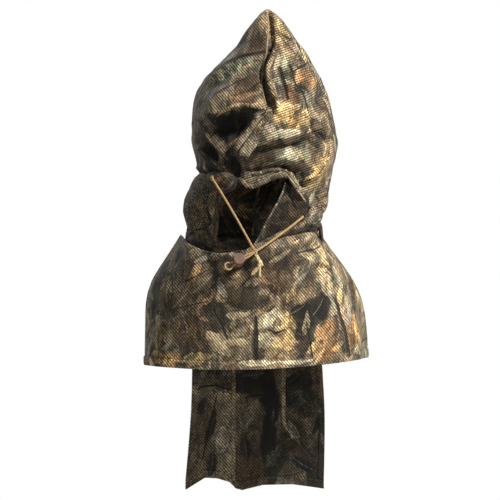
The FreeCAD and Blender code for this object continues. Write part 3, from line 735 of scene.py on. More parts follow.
def paint(obj, uv, seed, ground, leaves, twigs, palette, u_range, v_range, hand_zone=None,
          base=TAUPE, fold=None):
    """Stores the print on a cloth's vertices: soft ground patches, two layers of leaves, and twigs.

    Distances and leaf coordinates vary smoothly across a leaf, so the material can draw its edges
    and veins from them.  fold is painted light from the cloth's folds: ridges are painted pale as a
    highlight and grooves painted dark as shade; it is stored as the twig attribute's third value.
    """
    place_weave(obj)
    rng = np.random.default_rng(seed)
    back, middle, top, auto_twigs = [], [], [], []
    if palette:
        back, middle, top = [scatter(rng, u_range, v_range, *layer, palette) for layer in LAYERS]
        auto_twigs = twig_lines(rng, u_range, v_range, int((u_range[1] - u_range[0]) / TWIG_SPACE))
    if hand_zone is not None:
        back = [leaf for leaf in back if not hand_zone(leaf[0], leaf[1])]
        middle = [leaf for leaf in middle if not hand_zone(leaf[0], leaf[1])] + leaves
        auto_twigs = [line for line in auto_twigs if not hand_zone(line[0][0], line[0][1])] + twigs
    back = back + ground
    for name, group in (("middle", middle), ("top", top)):
        depth, along, across, colour = paint_leaves(uv, group)
        set_attribute(obj, "leaf_" + name, "FLOAT_VECTOR", np.stack([depth, along, across], axis=-1))
        set_attribute(obj, "tint_" + name, "FLOAT_COLOR", np.c_[colour, np.ones(len(colour))])
    depth, across = paint_twigs(uv, auto_twigs)
    tone_here = paint_ground(uv, back, base)
    # painted fold light, carried as the twig attribute's third value: pale on ridges, dark in grooves
    light = np.ones(len(uv)) if fold is None else fold
    set_attribute(obj, "ground", "FLOAT_COLOR", np.c_[tone_here, np.ones(len(uv))])
    set_attribute(obj, "twig", "FLOAT_VECTOR", np.stack([depth, across, light], axis=-1))
    set_attribute(obj, "print_uv", "FLOAT_VECTOR", np.c_[uv, np.full(len(uv), seed * 37.0)])


def near_front(u, v):
    return abs(u) < 190


def fold_light(points, closed, gain=5.0):
    """Painted fold light for each grid point: above 1 on ridges, a painted highlight, below 1 in grooves,
    painted shade.
    """
    normal = grid_normals(points, closed)
    light = np.ones(points.shape[:2])
    rows, columns = np.arange(points.shape[0]), np.arange(points.shape[1])
    for k, share in ((2, 0.3), (5, 0.7)):
        if closed:
            around = [np.roll(points, k, 1), np.roll(points, -k, 1)]
        else:
            around = [points[:, np.maximum(columns - k, 0)],
                      points[:, np.minimum(columns + k, columns[-1])]]
        around += [points[np.maximum(rows - k, 0)], points[np.minimum(rows + k, rows[-1])]]
        offset = [p - points for p in around]
        reach = sum((o ** 2).sum(-1) for o in offset) / 4 + 0.01
        light -= gain * share * (sum(offset) / 4 * normal).sum(-1) / reach
    return np.clip(light, 0.3, 1.4)


# ---------------------------------------------------------------- materials
class Nodes:
    """A short way to write a node tree."""

    def __init__(self, name):
        self.material = bpy.data.materials.new(name)
        self.material.use_nodes = True
        self.tree = self.material.node_tree
        self.tree.nodes.clear()
        self.output = self.tree.nodes.new("ShaderNodeOutputMaterial")
        self.shader = self.tree.nodes.new("ShaderNodeBsdfPrincipled")
        self.link(self.shader.outputs[0], self.output.inputs[0])

    def link(self, a, b):
        self.tree.links.new(a, b)

    def put(self, value, socket):
        if isinstance(value, bpy.types.NodeSocket):
            self.link(value, socket)
        elif value is not None:
            if hasattr(socket.default_value, "__len__") and not hasattr(value, "__len__"):
                value = [value] * len(socket.default_value)
            if hasattr(value, "__len__") and len(value) == 3 and len(socket.default_value) == 4:
                value = (*value, 1)
            socket.default_value = value

    def math(self, operation, a, b=None, c=None):
        node = self.tree.nodes.new("ShaderNodeMath")
        node.operation = operation
        for value, socket in zip((a, b, c), node.inputs):
            self.put(value, socket)
        return node.outputs[0]

    def plus(self, a, b):
        return self.math("ADD", a, b)

    def times(self, a, b):
        return self.math("MULTIPLY", a, b)

    def scaled(self, x, gain, start):
        """gain times x, plus start."""
        return self.math("MULTIPLY_ADD", x, gain, start)

    def vector(self, operation, a, b=None):
        node = self.tree.nodes.new("ShaderNodeVectorMath")
        node.operation = operation
        self.put(a, node.inputs[0])
        if b is not None:
            self.put(b, node.inputs[1])
        return node.outputs["Value" if operation in ("DOT_PRODUCT", "LENGTH") else "Vector"]

    def mix(self, share, a, b, blend="MIX"):
        node = self.tree.nodes.new("ShaderNodeMix")
        node.data_type = "RGBA"
        node.blend_type = blend
        node.clamp_factor = True
        self.put(share, node.inputs[0])
        self.put(a, node.inputs[6])
        self.put(b, node.inputs[7])
        return node.outputs[2]

    def tinted(self, colour, factor):
        return self.mix(1.0, colour, factor, "MULTIPLY")

    def moved(self, place, offset):
        return self.vector("ADD", place, offset)

    def object_place(self):
        return self.tree.nodes.new("ShaderNodeTexCoord").outputs["Object"]

    def attribute(self, name, output="Vector"):
        node = self.tree.nodes.new("ShaderNodeAttribute")
        node.attribute_name = name
        return node.outputs[output]

    def split(self, vector):
        node = self.tree.nodes.new("ShaderNodeSeparateXYZ")
        self.link(vector, node.inputs[0])
        return node.outputs

    def noise(self, vector, scale, detail=2.0, output=0, rough=0.55):
        node = self.tree.nodes.new("ShaderNodeTexNoise")
        self.put(vector, node.inputs["Vector"])
        node.inputs["Scale"].default_value = scale
        node.inputs["Detail"].default_value = detail
        node.inputs["Roughness"].default_value = rough
        return node.outputs[output]

    def cracks(self, vector, scale):
        """Distance to the nearest line of a net of random cells."""
        node = self.tree.nodes.new("ShaderNodeTexVoronoi")
        node.feature = "DISTANCE_TO_EDGE"
        self.put(vector, node.inputs["Vector"])
        node.inputs["Scale"].default_value = scale
        return node.outputs["Distance"]

    def step(self, x, low, high):
        """A smooth step from 0 at low to 1 at high."""
        node = self.tree.nodes.new("ShaderNodeMapRange")
        node.interpolation_type = "SMOOTHSTEP"
        self.put(x, node.inputs["Value"])
        node.inputs["From Min"].default_value = low
        node.inputs["From Max"].default_value = high
        return node.outputs["Result"]

    def bump(self, height, strength, distance):
        node = self.tree.nodes.new("ShaderNodeBump")
        node.inputs["Strength"].default_value = strength
        node.inputs["Distance"].default_value = distance * MM
        self.link(height, node.inputs["Height"])
        self.link(node.outputs[0], self.shader.inputs["Normal"])

    def surface(self, colour, roughness, sheen=0.0, specular=0.3):
        self.put(colour, self.shader.inputs["Base Color"])
        self.put(roughness, self.shader.inputs["Roughness"])
        self.shader.inputs["Sheen Weight"].default_value = sheen
        self.shader.inputs["Specular IOR Level"].default_value = specular
        return self.material


MESH_PITCH = 3.45      # distance between two lines of pores in the mesh cloth, mm
PORE_DARK = 1.12       # how much darker an open pore is than the yarn round it
YARN_LIGHT = 1.4       # brightness of the yarn, which makes up for the pores
BIAS = (0.77, 0.64)    # across the lines of pores, in the print's coordinates
LEVEL = (0.35, -0.94)  # the same on the hood's left panel, which is cut the other way


def camo_material(name, brightness=1.0, weave=BIAS, mottle=1.0):
    """Printed mesh cloth: streaked ground, two layers of veined leaves, twigs, and open pores.

    mottle is how strongly the small random shapes of the ground show.
    """
    n = Nodes(name)
    uv = n.attribute("print_uv")
    drift = n.vector("SUBTRACT", n.noise(uv, 0.045, 3.0, 1), (0.5, 0.5, 0.5))
    warped = n.moved(uv, n.vector("MULTIPLY", drift, (34, 34, 0)))
    fine = n.noise(uv, 0.35, 3.0)
    edge_wander = n.times(n.math("SUBTRACT", n.noise(uv, 0.14, 3.0), 0.5), 5.0)
    # ground, with blotches and streaks that run up and down
    tall = n.vector("MULTIPLY", warped, (1.0, 0.5, 1.0))
    blotch = n.step(n.noise(tall, 0.05, 6.0, rough=0.66), 0.41, 0.59)
    streak = n.step(n.noise(n.vector("MULTIPLY", uv, (1.0, 0.16, 1.0)), 0.22, 4.0, rough=0.65), 0.34, 0.66)
    ground = n.attribute("ground", "Color")
    colour = n.tinted(ground, n.scaled(blotch, 0.86 * mottle, 0.86 - 0.43 * mottle))
    colour = n.tinted(colour, n.scaled(streak, 0.50, 0.70))
    gold = n.step(n.noise(warped, 0.016, 2.0), 0.44, 0.58)
    colour = n.mix(n.times(gold, 0.55), colour, n.tinted(colour, (1.2, 1.0, 0.72)))
    shadow_shape = n.step(n.noise(n.moved(warped, (310, 90, 0)), 0.045, 5.0, rough=0.62), 0.555, 0.575)
    colour = n.mix(n.times(shadow_shape, 0.72 * mottle), colour, DARK * 0.5)
    pale_shape = n.step(n.noise(n.moved(warped, (77, 410, 0)), 0.06, 5.0, rough=0.6), 0.575, 0.595)
    pale = n.tinted(colour, (1.9, 1.8, 1.6))
    colour = n.mix(n.times(pale_shape, 0.5 * mottle), colour, pale)
    small = n.noise(n.moved(warped, (19, 233, 0)), 0.13, 4.0, rough=0.6)
    colour = n.mix(n.times(n.step(small, 0.58, 0.6), 0.42 * mottle), colour, DARK * 0.6)
    colour = n.mix(n.times(n.step(small, 0.415, 0.39), 0.26 * mottle), colour,
                   n.tinted(colour, (1.7, 1.65, 1.5)))
    for layer in ("middle", "top"):
        leaf = n.split(n.attribute("leaf_" + layer))
        tint = n.attribute("tint_" + layer, "Color")
        depth = n.plus(leaf[0], edge_wander)
        colour = n.mix(n.times(n.step(depth, -3.5, 0.0), 0.35), colour, BLACK * 0.6)
        rib = n.times(n.step(n.math("ABSOLUTE", leaf[2]), 0.16, 0.03), 0.4)
        slant = n.math("SUBTRACT", n.times(leaf[1], 8.0),
                       n.times(n.math("ABSOLUTE", leaf[2]), 1.6))
        vein = n.step(n.math("PINGPONG", slant, 0.5), 0.14, 0.0)
        half = n.step(leaf[2], -0.5, 0.5)
        shade = n.scaled(blotch, 0.7, 0.55)
        shade = n.times(shade, n.scaled(streak, 0.4, 0.8))
        shade = n.times(shade, n.scaled(half, 0.3, 0.85))
        shade = n.times(shade, n.scaled(vein, -0.16, 1.0))
        body = n.mix(rib, n.tinted(tint, shade), CREAM * 0.5)
        colour = n.mix(n.times(n.step(depth, -0.5, 1.4), 0.88), colour, body)
    # twigs, dark with a lighter upper side, and hair-thin stems
    twig = n.split(n.attribute("twig"))
    twig_depth = n.plus(twig[0], n.times(edge_wander, 0.3))
    bark = n.mix(n.step(twig[1], 0.1, 0.9), BLACK * 0.7, TAUPE * 0.4)
    colour = n.mix(n.times(n.step(twig_depth, -0.4, 0.4), 0.95), colour, bark)
    crack = n.cracks(warped, 0.04)
    colour = n.mix(n.times(n.step(crack, 0.035, 0.008), 0.5), colour, BLACK * 0.7)
    # grain of the printed yarn, the brightness of this copy of the print, and the painted fold light
    grain = n.step(fine, 0.3, 0.7)
    colour = n.tinted(colour, n.scaled(grain, 0.6, 0.68 * brightness))
    # painted shade in the folds' grooves and painted highlight on their ridges, from the twig attribute
    colour = n.tinted(colour, n.times(twig[2], 0.92 * brightness ** 0.5))
    grey = n.vector("DOT_PRODUCT", colour, (0.3, 0.6, 0.1))
    colour = n.mix(0.12, colour, grey)
    colour = n.tinted(colour, (0.96, 0.965, 0.9))
    # knitted mesh: slanting rows of pores
    (a, b), turn = weave, 2 * math.pi / MESH_PITCH
    place = n.attribute("weave")

    def pores(across, along):
        row = n.math("SINE", n.vector("DOT_PRODUCT", place, tuple(turn * v for v in across)))
        knot = n.math("SINE", n.vector("DOT_PRODUCT", place, tuple(turn * v for v in along)))
        return n.step(n.scaled(knot, 0.4, row), -0.25, 0.6)

    front, side = pores((a, b, 0), (-b, a, 0)), pores((0, b, a), (0, a, -b))
    share = n.attribute("weave_side", "Fac")
    pore = n.scaled(n.math("SUBTRACT", side, front), share, front)
    colour = n.tinted(colour, n.scaled(pore, -PORE_DARK, YARN_LIGHT))
    n.bump(n.scaled(pore, -1.0, n.times(fine, 0.3)), 0.6, 0.5)
    return n.surface(colour, n.scaled(fine, 0.2, 0.72), sheen=0.08, specular=0.22)


def tape_material(name, base):
    """Plain woven binding: fine ribs across and worn, paler high spots."""
    n = Nodes(name)
    place = n.object_place()
    rib = n.tree.nodes.new("ShaderNodeTexWave")
    rib.inputs["Scale"].default_value = 260
    rib.inputs["Distortion"].default_value = 1.5
    n.link(place, rib.inputs["Vector"])
    worn = n.noise(place, 90, 4.0)
    colour = n.mix(n.step(worn, 0.4, 0.7), base * 0.7, base * 1.35)
    colour = n.mix(n.times(rib.outputs["Fac"], 0.35), colour, base * 0.35)
    n.bump(n.plus(rib.outputs["Fac"], n.times(worn, 0.5)), 0.5, 0.4)
    return n.surface(colour, n.scaled(worn, 0.2, 0.7), sheen=0.2)


def cord_material(name, base):
    """Braided cover: two sets of strands that cross, from the cord's own coordinates."""
    n = Nodes(name)
    place = n.split(n.attribute("braid"))
    a = n.math("SINE", n.plus(n.times(place[0], 3.3), n.times(place[1], 4.0)))
    b = n.math("SINE", n.math("SUBTRACT", n.times(place[0], 3.3), n.times(place[1], 4.0)))
    strand = n.math("MAXIMUM", a, b)
    tint = n.noise(n.attribute("braid"), 0.35, 3.0)
    colour = n.mix(n.step(tint, 0.35, 0.7), base * 0.78, base * 1.2)
    colour = n.mix(n.step(strand, 0.35, -0.4), colour, base * 0.35)
    n.bump(strand, 0.6, 0.25)
    return n.surface(colour, 0.7, sheen=0.2)


def plastic_material(name, base):
    """Moulded cord lock: slight grain, scuffed paler edges."""
    n = Nodes(name)
    place = n.object_place()
    grain = n.noise(place, 900, 3.0)
    cloud = n.noise(place, 120, 3.0)
    bevel = n.tree.nodes.new("ShaderNodeBevel")
    bevel.inputs["Radius"].default_value = 0.5 * MM
    flat = n.tree.nodes.new("ShaderNodeNewGeometry").outputs["Normal"]
    edge = n.vector("DOT_PRODUCT", bevel.outputs[0], flat)
    worn = n.times(n.step(edge, 0.995, 0.9), n.step(cloud, 0.4, 0.6))
    colour = n.mix(n.step(cloud, 0.3, 0.7), base * 0.85, base * 1.15)
    colour = n.mix(worn, colour, base * 1.7)
    n.bump(grain, 0.25, 0.08)
    return n.surface(colour, n.scaled(cloud, 0.25, 0.35), specular=0.45)


def metal_material(name):
    n = Nodes(name)
    place = n.object_place()
    mark = n.noise(place, 700, 3.0)
    n.bump(mark, 0.2, 0.05)
    n.shader.inputs["Metallic"].default_value = 1.0
    return n.surface(n.mix(mark, (0.35, 0.34, 0.32), (0.62, 0.61, 0.58)), 0.35)


def net_material(name):
    """Stiff knitted net: dark strands with pale glints, which are painted highlights."""
    n = Nodes(name)
    place = n.object_place()
    patch = n.noise(place, 130, 4.0)
    fibre = n.noise(place, 900, 3.0)
    colour = n.mix(n.step(patch, 0.44, 0.58), BLACK * 0.6, BROWN * 0.9)
    # pale glints on the strands: painted highlight
    colour = n.mix(n.times(n.step(fibre, 0.52, 0.6), 0.8), colour, CREAM)
    n.bump(fibre, 0.5, 0.15)
    return n.surface(colour, 0.6, specular=0.15)


CAMO = camo_material("camo_print")
CAMO_LEFT = camo_material("camo_print_left", weave=LEVEL)
CAMO_INNER = camo_material("camo_print_inner", brightness=0.62)
CAMO_SHADE = camo_material("camo_print_shade", brightness=0.42)
# a brighter copy of the print for the turned hems: painted highlight along them
CAMO_HEM_HIGHLIGHT = camo_material("camo_print_hem_painted_highlight", brightness=1.2)
# a darker, calmer copy of the print for the flap's inner face, which lies in the bib's shade: painted shade
CAMO_FLAP_SHADE = camo_material("camo_print_flap_painted_shade", brightness=0.46, mottle=0.5)
# a darker copy of the print for the veil set back in the face opening: painted shade
CAMO_VEIL_SHADE = camo_material("camo_print_veil_painted_shade", brightness=0.6)
SEAM_TAPE = tape_material("seam_tape", tone(160, 136, 98))
CORD = cord_material("elastic_cord", tone(186, 150, 100))
FRAY = cord_material("frayed_cord", tone(232, 208, 160))
CORD_HIDDEN = tape_material("elastic_cord_hidden", tone(186, 150, 100))
LOCK_PLASTIC = plastic_material("lock_plastic", tone(104, 76, 58))
STEEL = metal_material("spring_wire")
THREAD = tape_material("thread", tone(150, 130, 92))
# a darker copy of the thread for the flap's hem, which lies in shade: painted shade
SHADED_THREAD = tape_material("thread_painted_shade", tone(84, 76, 62))
NET = net_material("open_net")


# ---------------------------------------------------------------- building the cloth
def finish_cloth(obj, body, nodes, materials, thickness=1.1, blend=None):
    for material in materials:
        obj.data.materials.append(material)
    if thickness:
        thicken(obj, thickness, 1 if len(materials) > 1 else None)
    if blend:
        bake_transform(obj)
    else:
        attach(obj, body)
    if nodes:
        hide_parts(*nodes)


HOOD_BLEND = ("neck", "hood", (0, 0, 1), (0, 0, 32))
BIB_BLEND = ("neck", "front_bib", (0, 22, 0), (0, NECK_LOW[1] + 8, 0))
FLAP_BLEND = ("neck", "back_flap", (0, 0, -6), (0, 0, -45))


def hood_arc(x, z):
    """The print's coordinate round the hood for a point seen in front."""
    centre, half = centre_and_half(HOOD_ROWS, z)
    share = np.clip((x - centre) / half, -0.97, 0.97)
    return centre + half * np.arcsin(share)


def snap_to(line, points, limit):
    """Moves points near a front-view line onto it, keeping their depth."""
    x, z = points[:, 0], points[:, 2]
    best = np.full(len(points), limit)
    out = points.copy()
    for a, b in zip(line[:-1], line[1:]):
        d = b - a
        t = np.clip(((x - a[0]) * d[0] + (z - a[1]) * d[1]) / (d @ d + 1e-9), 0, 1)
        qx, qz = a[0] + d[0] * t, a[1] + d[1] * t
        dist = np.hypot(x - qx, z - qz)
        closer = dist < best
        best = np.where(closer, dist, best)
        out[closer, 0], out[closer, 2] = qx[closer], qz[closer]
    return out


def edge_points(faces, count):
    """Which points lie on the open edge of a set of quads."""
    edges = np.sort(np.concatenate([faces[:, [i, (i + 1) % 4]] for i in range(4)]), axis=1)
    unique, number = np.unique(edges, axis=0, return_counts=True)
    rim = np.zeros(count, dtype=bool)
    rim[unique[number == 1].ravel()] = True
    return rim


def build_hood():
    """The two side panels, cut out of one folded grid along the seam, the opening and the nets."""
    angle = HOOD_GRID[0]
    rows, columns = angle.shape
    flat = HOOD_CLOTH.reshape(-1, 3)
    flat_angle = angle.ravel()
    quads = grid_faces(rows, columns, True)
    middle = flat[quads].mean(1)
    middle_angle = wrap(np.angle(np.exp(1j * flat_angle[quads]).mean(1)))
    keep = ~(inside(middle[:, 0], middle[:, 2], OPENING) & (middle[:, 1] < 0))
    for window in EAR_WINDOW.values():
        keep &= ~inside(middle_angle, middle[:, 2], window)
    column = quads[:, 0] % columns
    half = columns // 2
    uv = hood_uv(flat, flat_angle)
    light = fold_light(HOOD_CLOTH, True).ravel()
    placed = (shift_leaves(HOOD_GROUND, hood_arc), shift_leaves(HOOD_LEAVES, hood_arc),
              shift_twigs(HOOD_TWIGS, hood_arc))
    for side, chosen in (("left", column < half), ("right", column >= half)):
        verts, faces, (own_uv, own_light) = compact(flat, quads[keep & chosen], uv, light)
        rim = edge_points(faces, len(verts)) & (verts[:, 1] < 0)
        verts[rim] = snap_to(OPENING, verts[rim], RIM_SNAP)
        obj = new_object(f"hood_{side}_cloth", verts, faces.tolist())
        palette = MIXED if side == "left" else MIXED[:5] + DULL[:4]
        paint(obj, own_uv, 11, *placed, palette, (-340, 340), (-30, 360), hood_hand_zone, fold=own_light)
        outer = CAMO_LEFT if side == "left" else CAMO
        finish_cloth(obj, "hood", [f"hood_{side}_side_panel"], [outer, CAMO_INNER], blend=HOOD_BLEND)


def hood_surface_closed(angle, z):
    """The folded hood on the closed grid, with the gathered tip pulled together."""
    base = hood_base(angle, z)
    normal = grid_normals(base, True)
    front = front_weight(normal)
    out = stand_out(HOOD_FOLDS, base[..., 0], base[..., 2]) * front
    fade = smooth(345, 300, z)
    out += fade * (1 - front) * 4.5 * noise(base * [1, 1, 0.45], 46, 3)
    out += fade * (1 - front) * 2.2 * noise(base * [1, 1, 0.7], 20, 5)
    out += fade * front * 1.5 * noise(base, 26, 9)
    out += fade * 0.7 * noise(base, 11, 4)
    points = base + normal * out[..., None]
    # the tip is rounded off over its last few millimetres
    over = np.clip((z - (PEAK_Z - TIP_HEIGHT)) / TIP_HEIGHT, 0, 0.998)[..., None]
    keep = np.sqrt(1 - over ** 2)
    points[..., :2] = points[..., :2] * keep + TIP_AXIS * (1 - keep)
    return points


def hood_uv(points, angle):
    """Print coordinates: round the hood, and up it."""
    centre, half = centre_and_half(HOOD_ROWS, points[:, 2])
    return np.stack([centre + half * wrap(angle), points[:, 2]], axis=-1)


def hood_hand_zone(u, v):
    """Where the listed print is, in print coordinates."""
    return abs(u - 5) < 128 and v > 20


HOOD_GRID = hood_grid(HOOD_COLUMNS, HOOD_ROW_COUNT)
HOOD_CLOTH = hood_surface_closed(*HOOD_GRID)
FRONT_POINTS = HOOD_CLOTH[grid_normals(HOOD_CLOTH, True)[..., 1] < -0.1]


# ---------------------------------------------------------------- tubes and bands
def frames_along(path, up=None):
    """Two vectors square to a path at each of its points, with the twist kept low."""
    p = np.asarray(path, dtype=float)
    t = np.gradient(p, axis=0)
    t /= np.linalg.norm(t, axis=1, keepdims=True) + 1e-12
    side = np.zeros_like(p)
    given = None if up is None or np.ndim(up) == 1 else np.asarray(up, dtype=float)
    previous = np.array([0.0, -1.0, 0.0]) if up is None else np.atleast_2d(up)[0].astype(float)
    if abs(previous @ t[0]) > 0.95:
        previous = np.array([1.0, 0.0, 0.0])
    for i in range(len(p)):
        here = previous if given is None else given[i]
        v = here - t[i] * (here @ t[i])
        previous = v / (np.linalg.norm(v) + 1e-12)
        side[i] = previous
    return side, np.cross(t, side)


def resample(path, spacing):
    """The same path with evenly spaced points."""
    p = np.asarray(path, dtype=float)
    steps = np.linalg.norm(np.diff(p, axis=0), axis=1)
    along = np.concatenate([[0], np.cumsum(steps)])
    count = max(2, int(round(along[-1] / spacing)) + 1)
    at = np.linspace(0, along[-1], count)
    return np.stack([np.interp(at, along, p[:, k]) for k in range(3)], axis=-1), at


def tube_mesh(path, radius, sides=10, spacing=1.2, up=None, flat=1.0):
    """Vertices, faces and (length along, angle round) of a tube.

    radius is a number or a function of (length along, angle); flat squeezes it towards the
    surface it lies on.
    """
    p, along = resample(path, spacing)
    if up is not None and np.ndim(up) == 2:
        old = np.linspace(0, 1, len(up))
        new = np.linspace(0, 1, len(p))
        up = np.stack([np.interp(new, old, np.asarray(up)[:, k]) for k in range(3)], axis=-1)
    out, across = frames_along(p, up)
    turn = np.linspace(0, 2 * np.pi, sides, endpoint=False)
    s, a = np.meshgrid(along, turn, indexing="ij")
    r = radius(s, a) if callable(radius) else np.full(s.shape, float(radius))
    ring = (out[:, None] * (np.cos(a) * r * flat)[..., None] + across[:, None] * (np.sin(a) * r)[..., None])
    verts = (p[:, None] + ring).reshape(-1, 3)
    rows = len(p)
    faces = grid_faces(rows, sides, True).tolist()
    faces.append(list(range(sides))[::-1])
    faces.append([(rows - 1) * sides + c for c in range(sides)])
    return verts, faces, np.stack([s.ravel(), a.ravel(), s.ravel() * 0], axis=-1)


def join_meshes(parts):
    """Several (verts, faces, extra) meshes as one."""
    verts, faces, extras, count = [], [], [], 0
    for v, f, e in parts:
        verts.append(v)
        faces += [[i + count for i in face] for face in f]
        extras.append(e)
        count += len(v)
    return np.concatenate(verts), faces, np.concatenate(extras)


STITCH_STEP = 0.5      # points along a row of stitches, mm
STITCH_POINTS = 10     # points of one stitch
STITCH_PITCH = 15      # points from one stitch to the next


def stitch_row(name, line, radius, body, node, material, blend):
    """A row of short straight stitches along a line."""
    even, _ = resample(line, STITCH_STEP)
    starts = range(0, len(even) - 12, STITCH_PITCH)
    verts, faces, _ = join_meshes([tube_mesh(even[k:k + STITCH_POINTS], radius, 6, 1.0) for k in starts])
    obj = new_object(name, verts, faces)
    finish_cloth(obj, body, [node], [material], thickness=0, blend=blend)


def paint_plain(obj, uv, base):
    """The same cloth without placed or scattered shapes."""
    paint(obj, uv, 15, [], [], [], [], (0, 1), (0, 1), base=base)


def front_print(points):
    """The print's coordinates of points seen in front, so that a trim shares its cloth's weave."""
    return np.c_[points[:, 0] + 0.35 * points[:, 1], points[:, 2]]


def tube_object(name, parts, body, nodes, material, blend=None, base=None):
    """A hem or binding made of tubes; with a base colour it is the same mesh cloth, unpatterned."""
    verts, faces, extra = join_meshes(parts)
    obj = new_object(name, verts, faces)
    set_attribute(obj, "braid", "FLOAT_VECTOR", extra)
    if base is not None:
        paint_plain(obj, front_print(verts), base)
    finish_cloth(obj, body, nodes, [material], thickness=0, blend=blend)


def cord_object(name, parts, body, node, material):
    tube_object(name, parts, body, [node], material)


def hood_front(x, z, lift=0.0):
    """Points on the finished hood, seen in front, raised towards the viewer by lift."""
    x, z, lift = np.broadcast_arrays(*np.atleast_1d(x, z, lift))
    out = []
    for px, pz, up in zip(x, z, lift):
        gap = np.hypot(FRONT_POINTS[:, 0] - px, FRONT_POINTS[:, 2] - pz)
        close = np.argsort(gap)[:5]
        weight = 1 / (gap[close] + 0.2)
        y = (FRONT_POINTS[close, 1] * weight).sum() / weight.sum()
        out.append((px, y - up, pz))
    return np.array(out, dtype=float)


def puckered(radius, depth, pitch, seed):
    """A gathered roll: its radius rises and falls along and round it."""
    def shape(s, a):
        p = np.stack([s, np.cos(a) * 3, np.sin(a) * 3], axis=-1)
        return radius * (1 + depth * noise(p, pitch, seed) + 0.5 * depth * noise(p, pitch * 0.45, seed + 1))
    return shape


def tucked(path, share=0.12, depth=7.0):
    """Pushes both ends of a path back into the cloth."""
    t = np.linspace(0, 1, len(path))
    path = path.copy()
    path[:, 1] += depth * (1 - smooth(0, share, t)) + depth * (1 - smooth(0, share, 1 - t))
    return path


def fold_roll(points, radius, base, flat=0.6, lift=0.0, seed=0):
    """A fold that overlaps the cloth: a flattened roll whose ends sink into the surface."""
    line = curve_through(points)
    path = tucked(hood_front(*line.T, lift=lift), 0.22, radius * 0.9)
    length = np.linalg.norm(np.diff(path, axis=0), axis=1).sum()

    def shape(s, a):
        swell = smooth(-0.1, 0.35, s / length) * smooth(-0.1, 0.35, 1 - s / length)
        p = np.stack([s, np.cos(a) * 3, np.sin(a) * 3], axis=-1)
        return radius * (0.3 + 0.7 * swell) * (1 + 0.04 * noise(p, 12.0, seed))

    verts, faces, extra = tube_mesh(path, shape, 16, 1.2, flat=flat)
    return verts, faces, extra, np.tile(base, (len(verts), 1))


# folds that overlap the cloth: their line in front view, radius, colour, flatness and lift
ROLLS = [
    ([(27, 294), (21, 274), (14.5, 256), (17, 236), (24, 218), (30, 202), (28, 188)],
     4.3, TAN * 1.05, 0.9, -0.5),
    ([(6, 192), (-13, 163), (-26, 147), (-38, 128)], 5.0, TAUPE * 1.1, 0.6, 1.0),
    ([(26, 200), (20, 190), (7, 167), (-8, 147), (-20, 130), (-30, 112)], 8.6, TAUPE * 1.2, 0.24, 0.0),
    ([(-68, 182), (-47, 196), (-22, 202), (4, 197), (15, 190)], 3.4, TAN, 0.7, 0.0),
    ([(110, 128), (98, 114), (84, 98), (63, 87)], 3.0, GOLD * 0.85, 0.6, 0.0),
    ([(-90, 180), (-72, 150), (-54, 130), (-40, 115)], 2.8, BROWN, 0.6, 0.0),
    ([(-96, 146), (-78, 126), (-58, 112), (-42, 107)], 2.8, BROWN, 0.6, 0.0),
    ([(100, 84), (102, 62), (97, 46), (86, 33), (70, 24), (50, 16), (28, 6), (8, -4), (-12, -12)],
     7.5, TAUPE * 0.75, 0.6, 1.0),
]


def build_rolls():
    """The folds that overlap the hood's cloth, as one piece."""
    parts = [fold_roll(points, radius, base, flat, lift, 30 + k)
             for k, (points, radius, base, flat, lift) in enumerate(ROLLS)]
    verts, faces, _ = join_meshes([part[:3] for part in parts])
    obj = new_object("hood_gathers", verts, faces)
    uv = np.c_[hood_arc(verts[:, 0], verts[:, 2]), verts[:, 2]]
    paint_plain(obj, uv, np.concatenate([part[3] for part in parts]))
    finish_cloth(obj, "hood", [], [CAMO], thickness=0, blend=HOOD_BLEND)


CASING_TOP = [(-16, 97), (-4, 98), (12, 103), (27, 105), (39, 104), (48, 98), (55, 88), (62, 78)]
CORD_RUN_R = 1.5       # the cord inside its casing, stretched a little thinner


def on_hood(points, lift):
    """A smooth line through points given in front view, laid on the hood."""
    return hood_front(*curve_through(points).T, lift=lift)


def build_hood_trim():
    """The gathered casing with its cord, the plain edges of the opening, and the crown seam."""
    lower = tucked(on_hood(CASING[:8], 2.0), 0.14, 11.0)
    upper = tucked(on_hood(CASING_TOP, 0.5), 0.16, 6.0)
    edge = tucked(on_hood(CASING[6:], 1.2), 0.12, 3.0)
    rolls = [tube_mesh(lower, puckered(3.5, 0.1, 7.0, 3), 16, 0.9),
             tube_mesh(upper, puckered(2.7, 0.1, 7.0, 4), 14, 0.9),
             tube_mesh(edge, puckered(2.0, 0.12, 6.0, 7), 12, 1.0)]
    tube_object("face_casing_roll", rolls, "hood", ["face_casing"], CAMO,
                base=TAUPE * 1.15)
    run = tube_mesh(lower, CORD_RUN_R, 8, 2.0)
    tube_object("casing_cord_run", [run], "hood", ["casing_cord"], CORD_HIDDEN)
    for side, points, radius, seed, material, base in (
            ("right", CHEEK_EDGE[1:], 3.2, 5, CAMO_SHADE, BROWN),
            ("left", FAR_EDGE[:-1], 3.0, 6, CAMO, TAUPE)):
        roll = tube_mesh(on_hood(points, 0.2), puckered(radius, 0.15, 8.0, seed), 12, 1.2, flat=0.6)
        tube_object(f"opening_edge_{side}_roll", [roll], "hood",
                    [f"opening_edge_{side}"], material, HOOD_BLEND, base=base)
    # bound edge of the seam between the two panels, front and back
    z = np.linspace(PEAK_Z - 2, 196, 90)
    x = np.interp(z, [196, 232, 256, 284, 318, 348], [13, 5, 7, 13, 15.5, 14])
    front_seam = tucked(hood_front(x, z, lift=0.3), 0.1, 3.0)
    back_z = np.linspace(PEAK_Z - 3, 2, 120)
    back_seam = hood_base(np.full(back_z.shape, np.pi), back_z)
    back_seam[:, 1] += 1.4
    ridges = [tube_mesh(front_seam, 1.2, 8, 1.5), tube_mesh(back_seam, 1.6, 8, 2.0, flat=0.6)]
    tube_object("crown_seam_ridge", ridges, "hood", ["crown_seam_tape"], SEAM_TAPE,
                HOOD_BLEND)


